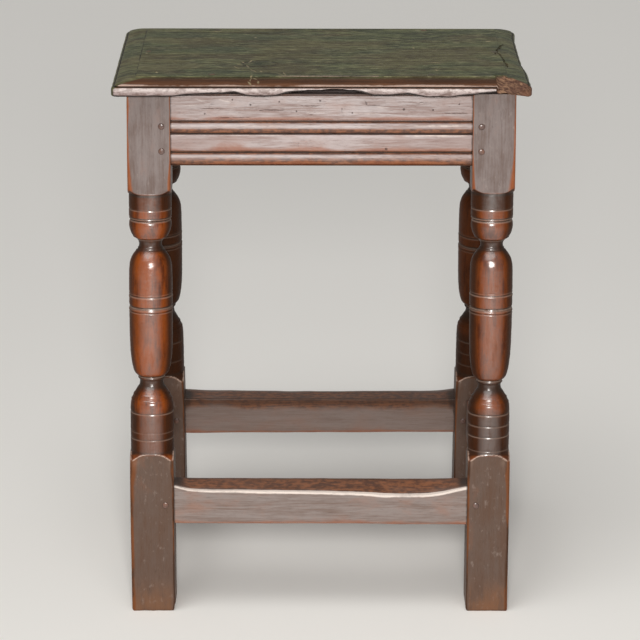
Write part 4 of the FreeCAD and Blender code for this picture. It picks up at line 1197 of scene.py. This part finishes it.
def seat_shell(shape):
    """The seat board as rings from the middle of its top to the middle of its underside. A ring is the outline moved in
    by its inset, and its height follows the edge moulding: field, small step, ovolo, quirk, nose. The nose's lower edge
    climbs where the front is broken, the under face runs back from it, and the front right corner is torn to a
    slope."""
    half_x, half_y = SEAT_HIGH[0] / MM, SEAT_HIGH[1] / MM
    top, under = SEAT_HIGH[2] / MM, SEAT_LOW[2] / MM
    columns = seat_columns()
    t, turn = columns[:, 0], columns[:, 1]
    nose_arc = np.linspace(0, math.pi / 2, 7)
    ovolo = np.linspace(0, 1, 13)
    profile = np.concatenate([
        stacked([half_y - 2, 110, 90, 70, 50, 38, 30, 26, 24.9, 24.35], 0.0),
        [(24.1, -0.25), (23.9, -0.95), (23.6, -1.15)],
        stacked(23.4 - 19.4 * ovolo, -1.2 - 4.2 * ovolo ** 1.9)[1:],
        [(3.75, -5.65), (3.6, -6.05), (3.45, -6.75), (3.3, -7.05)],
        stacked(3.2 - 3.2 * np.sin(nose_arc), -6.9 - 3.2 * (1 - np.cos(nose_arc)))[1:],
        [(0.0, -11.5), (0.0, -13.0), (0.0, -14.4)],
        stacked(1.8 - 1.8 * np.cos(nose_arc), -14.7 - 1.8 * np.sin(nose_arc))[1:],
        stacked([3, 4.5, 6.5, 9, 12, 15, 18, 21, 24, 28, 34, 50, 90, half_y - 2], -16.5)])
    inset, drop = profile[:, :1], profile[:, 1:]
    nose_row = int(np.argmax(profile[:, 1] < -8.5))
    below = np.arange(len(profile))[:, None] >= nose_row
    keep = np.clip(1 - inset / 26, 0.12, 1)
    x = y = 0.0
    for share_here, sign_x, sign_y in ((1 - t, columns[:, 2], columns[:, 3]), (t, columns[:, 4], columns[:, 5])):
        rounding = np.where(sign_y > 0, BACK_CORNER, FRONT_CORNER) * keep
        x = x + share_here * (sign_x * (half_x - inset - rounding) + rounding * np.cos(turn))
        y = y + share_here * (sign_y * (half_y - inset - rounding) + rounding * np.sin(turn))
    facing = (np.abs(y) / half_y > np.abs(x) / half_x) * (y < 0)
    climb = np.clip(flowing(x, BROKEN_EDGE[:, 0], BROKEN_EDGE[:, 1]) * shape.break_height / MM / 12.0 * 1.08, 0, 11)
    climb = climb * facing + 0.35 * np.abs(ripple(x + y * 2, 6, 8)) * facing
    gone = smoothstep(7.0, 10.2, climb)
    retreat = (3.3 * gone + 0.25 * lattice_noise(stacked(x, 0.0, drop), 9, 3)) * below * facing
    retreat = retreat * smoothstep(9, 2, inset)
    depth_here = 2 + climb * shape.break_depth / MM / 10.5
    z = top + drop
    floor = under + climb * np.clip(1 - inset / depth_here, 0, 1)
    ragged = 0.5 * lattice_noise(stacked(x, y * 3, 0.0), 5, 12)
    floor = floor + ragged * smoothstep(0.4, 2.0, floor - under) * (inset > 2.5)
    z = np.where(below, np.maximum(z, np.minimum(floor, top - 6.9)), z)
    side = np.sign(x)
    right = smoothstep(170, 205, x)
    rear = smoothstep(-70, -20, y) * smoothstep(130, 80, y)
    worn_in = right * rear * 3.2 + 0.5 * np.abs(ripple(y, 23, 4)) * right
    rim = np.clip(1 - inset / 22, 0, 1)
    x = x - side * worn_in * rim - side * 0.35 * np.abs(ripple(y, 14, 6)) * rim * (np.abs(x) > half_x - 30)
    dents = 1.6 * bump(x, 28, 5) + 0.8 * bump(x, 112, 4) + 0.8 * bump(x, 149, 4) + 0.5 * np.abs(ripple(x, 19, 9))
    y = y - np.sign(y) * (y > 0) * dents * rim * (np.abs(x) < half_x - 12)
    y = y + retreat

    break_line = -half_y + 29 - np.maximum(x - 180, 0) * 0.62 + 1.6 * ripple(x * 1.3, 5, 2)
    torn = smoothstep(175.5, 177.5, x + 1.2 * ripple(y * 1.5, 5, 2)) * smoothstep(1.2, -0.6, y - break_line)
    run = np.maximum(break_line - y, 0)
    down_grain, cross_grain = x * 0.85 - y * 0.53, x * 0.53 + y * 0.85
    pits = (lattice_noise(stacked(down_grain * 0.1, cross_grain, 0.0), 3.2, 21)
            + lattice_noise(stacked(down_grain * 0.5, cross_grain * 0.4, 0.0), 5.0, 22) * 0.5)
    slope_z = top - 0.9 - run * 0.56 + 0.55 * pits * smoothstep(0, 4, run) - 1.2 * bump(run, 5, 3)
    z = np.where(~below, z * (1 - torn) + torn * np.minimum(slope_z, z), z)
    z = np.clip(z, np.where(below, under, under + climb * 0.8 + 0.3 * pits * torn), top)
    y = y + torn * below * smoothstep(20, 0, inset) * (2.6 + 1.0 * pits)

    rub = shape.hollow / MM
    inner = smoothstep(22, 30, inset) * ~below
    z = z - inner * rub * (0.5 + 0.5 * lattice_noise(stacked(x * 0.35, y, 0.0), 24, 5))
    mould = (inset < 24) * (inset > 3.5) * ~below
    z = z - mould * 0.2 * (0.5 + 0.5 * lattice_noise(stacked(x, y, 0.0), 18, 15))

    field_edge = flowing(x, FIELD_EDGE[:, 0], FIELD_EDGE[:, 1]) * facing + 0.3 * (1 - facing)
    arris = bump(inset, 24.3, 0.5) * (drop > -0.4) * field_edge
    arris = arris + bump(drop, -5.5, 1.0) * (inset > 3.6) * (inset < 8) * 1.25
    nose = smoothstep(-7.0, -7.8, drop) * (inset < 3.2)
    long_side = 0.35 + 0.65 * facing
    wear = (arris * (0.7 + 0.4 * ripple(x + y, 33, 7)) + nose * (1 - 0.2 * smoothstep(-20, 150, x))) * long_side
    # Soiling and painted shade in the quirk and along the step of the field; painted shade under the board, in the
    # broken front and in a line under the nose
    quirk = bump(drop, -6.9, 0.8) * (inset > 1.8) * (inset < 3.8) * 1.5
    ahead = smoothstep(-0.16, -0.04, np.abs(y) / half_y - np.abs(x) / half_x) * (y < 0)
    step = bump(inset, 23.9, 0.9) * (0.66 - 0.6 * ahead) * (1 + 0.6 * ripple(x - y, 13, 17))
    step = step * np.where(x > 0, 1 - 0.5 * (1 - ahead), 1)
    hidden = smoothstep(0.8, 3.0, z - under) * (inset > 1.2) * below
    lower_rim = (bump(z, under + climb - 0.3, 2.1) * 1.1 + gone * 1.2) * below * facing * 0.95
    grime_and_shade = np.clip(quirk + step + hidden + (inset > 4) * below * 0.55 + lower_rim, 0, 1) * (1 - torn * ~below)
    wear = np.clip(wear * (1 - torn) * (1 - gone * below), 0, 1)
    return Shell(stacked(x, y, z), stacked(x, y, z + 900), wear=wear, grime_and_shade=grime_and_shade, broken=np.clip(torn, 0, 1),
                 front=facing)


class STOOL_OT_seat(Operator):
    """Makes the moulded seat board with its broken front edge and torn corner"""

    bl_idname = "stool.seat"
    bl_label = "Seat board"

    def execute(self, context):
        scene = context.scene
        material = seat_oak("seat_oak", scene.stool_finish)
        make_piece("worn_seat_board", [seat_shell(scene.stool_shape)], material, ["seat_top"], sharp=35)
        return {"FINISHED"}


# Stage

# The camera as fitted to the photo, in metres and in degrees down, turned and rolled
CAMERA_PLACE = (-0.0129877, -2.9207518, 1.237857)
CAMERA_PITCH, CAMERA_YAW, CAMERA_ROLL = 18.3458, -0.2442, 0.1499
FOCAL_PIXELS, PICTURE_PIXELS = 2855.803, 640
SENSOR = 36.0
FLOOR_RADIUS = 9.0
BACKDROP = 0.42


class STOOL_OT_stage(Operator):
    """Lays a plain pale floor, hangs soft lamps and sets up the camera"""

    bl_idname = "stool.stage"
    bl_label = "Floor, lamps and camera"

    def hang(self, lamp, place):
        """Turns a lamp at its place towards the middle of the stool."""
        hung = bpy.data.objects.new(lamp.name, lamp)
        hung.location = place
        hung.rotation_euler = (Vector((0.0, 0.0, 0.3)) - Vector(place)).to_track_quat("-Z", "Y").to_euler()
        bpy.context.scene.collection.objects.link(hung)

    def execute(self, context):
        scene, look = context.scene, context.scene.studio_look
        turn = np.linspace(0, 2 * math.pi, 96, endpoint=False)
        edge = stacked(FLOOR_RADIUS * np.cos(turn), FLOOR_RADIUS * np.sin(turn), 0.0)
        mesh = bpy.data.meshes.new("studio_floor")
        mesh.from_pydata(edge, [], [list(range(len(edge)))])
        board = Board(bpy.data.materials.new("pale_floor"))
        cloud = board.noise(board.stretched(board.object_place(), 3, 3, 3), detail=2)
        tint = board.blend(cloud * 0.12, look.floor, tuple(part * 0.9 for part in look.floor))
        mesh.materials.append(board.finish(tint, 0.75 + (cloud - 0.5) * 0.05, cloud, 0.0003, specular=0.2))
        floor = bpy.data.objects.new("studio_floor", mesh)
        scene.collection.objects.link(floor)

        scene.world = bpy.data.worlds.new("studio")
        studio = Board(scene.world)
        camera_ray, glossy_ray, through_ray = (
            studio.node("ShaderNodeLightPath", output=ray)
            for ray in ("Is Camera Ray", "Is Glossy Ray", "Is Transmission Ray"))
        plain = studio.node("ShaderNodeBackground", {}, {"Strength": look.fill})
        pale = studio.node("ShaderNodeBackground", {}, {"Color": tuple(look.floor) + (1.0,), "Strength": BACKDROP})
        shown = studio.node("ShaderNodeMixShader", {},
                            {0: camera_ray.most(glossy_ray).most(through_ray), 1: plain, 2: pale})
        studio.node("ShaderNodeOutputWorld", {}, {"Surface": shown})

        key = bpy.data.lights.new("key_lamp", "AREA")
        key.shape, key.size, key.energy, key.color = "DISK", 0.45, look.key, (1.0, 0.98, 0.95)
        self.hang(key, (0.0, -2.75, 1.3))
        top = bpy.data.lights.new("top_light", "SUN")
        top.angle, top.energy, top.color = math.radians(50), look.top, (1.0, 0.99, 0.97)
        self.hang(top, (-0.5, -1.0, 3.0))

        camera_data = bpy.data.cameras.new("camera")
        camera_data.sensor_width = SENSOR
        camera_data.lens = SENSOR * FOCAL_PIXELS / PICTURE_PIXELS
        camera_data.clip_end = 60
        camera = bpy.data.objects.new("camera", camera_data)
        camera.location = CAMERA_PLACE
        heading = Euler((0, 0, math.radians(CAMERA_YAW))).to_matrix()
        pitch = Euler((math.radians(90 - CAMERA_PITCH), 0, 0)).to_matrix()
        roll = Euler((0, 0, math.radians(CAMERA_ROLL))).to_matrix()
        camera.rotation_euler = (heading @ pitch @ roll).to_euler()
        scene.collection.objects.link(camera)
        scene.camera = camera
        scene.view_settings.view_transform = "Standard"
        return {"FINISHED"}


class STOOL_PT_panel(Panel):
    """Lists the stool's pieces, sizes and colours."""

    bl_label = "Joined stool"
    bl_idname = "STOOL_PT_panel"
    bl_space_type = "VIEW_3D"
    bl_region_type = "UI"
    bl_category = "Stool"

    def draw(self, context):
        column = self.layout.column()
        for operator in PIECES:
            column.operator(operator.bl_idname)
        for settings in (context.scene.stool_shape, context.scene.stool_finish, context.scene.studio_look):
            box = self.layout.box()
            for name in settings.__annotations__:
                box.prop(settings, name)


PIECES = (STOOL_OT_seat, STOOL_OT_legs, STOOL_OT_rails, STOOL_OT_stretchers, STOOL_OT_pegs, STOOL_OT_stage)
CLASSES = (StoolShape, StoolFinish, StudioLook) + PIECES + (STOOL_PT_panel,)


def register():
    for made in CLASSES:
        bpy.utils.register_class(made)
    bpy.types.Scene.stool_shape = PointerProperty(type=StoolShape)
    bpy.types.Scene.stool_finish = PointerProperty(type=StoolFinish)
    bpy.types.Scene.studio_look = PointerProperty(type=StudioLook)


def unregister():
    del bpy.types.Scene.stool_shape, bpy.types.Scene.stool_finish, bpy.types.Scene.studio_look
    for made in reversed(CLASSES):
        bpy.utils.unregister_class(made)


def main():
    register()
    for call in (bpy.ops.stool.seat, bpy.ops.stool.legs, bpy.ops.stool.rails, bpy.ops.stool.stretchers,
                 bpy.ops.stool.pegs, bpy.ops.stool.stage):
        call()


if __name__ == "__main__":
    main()
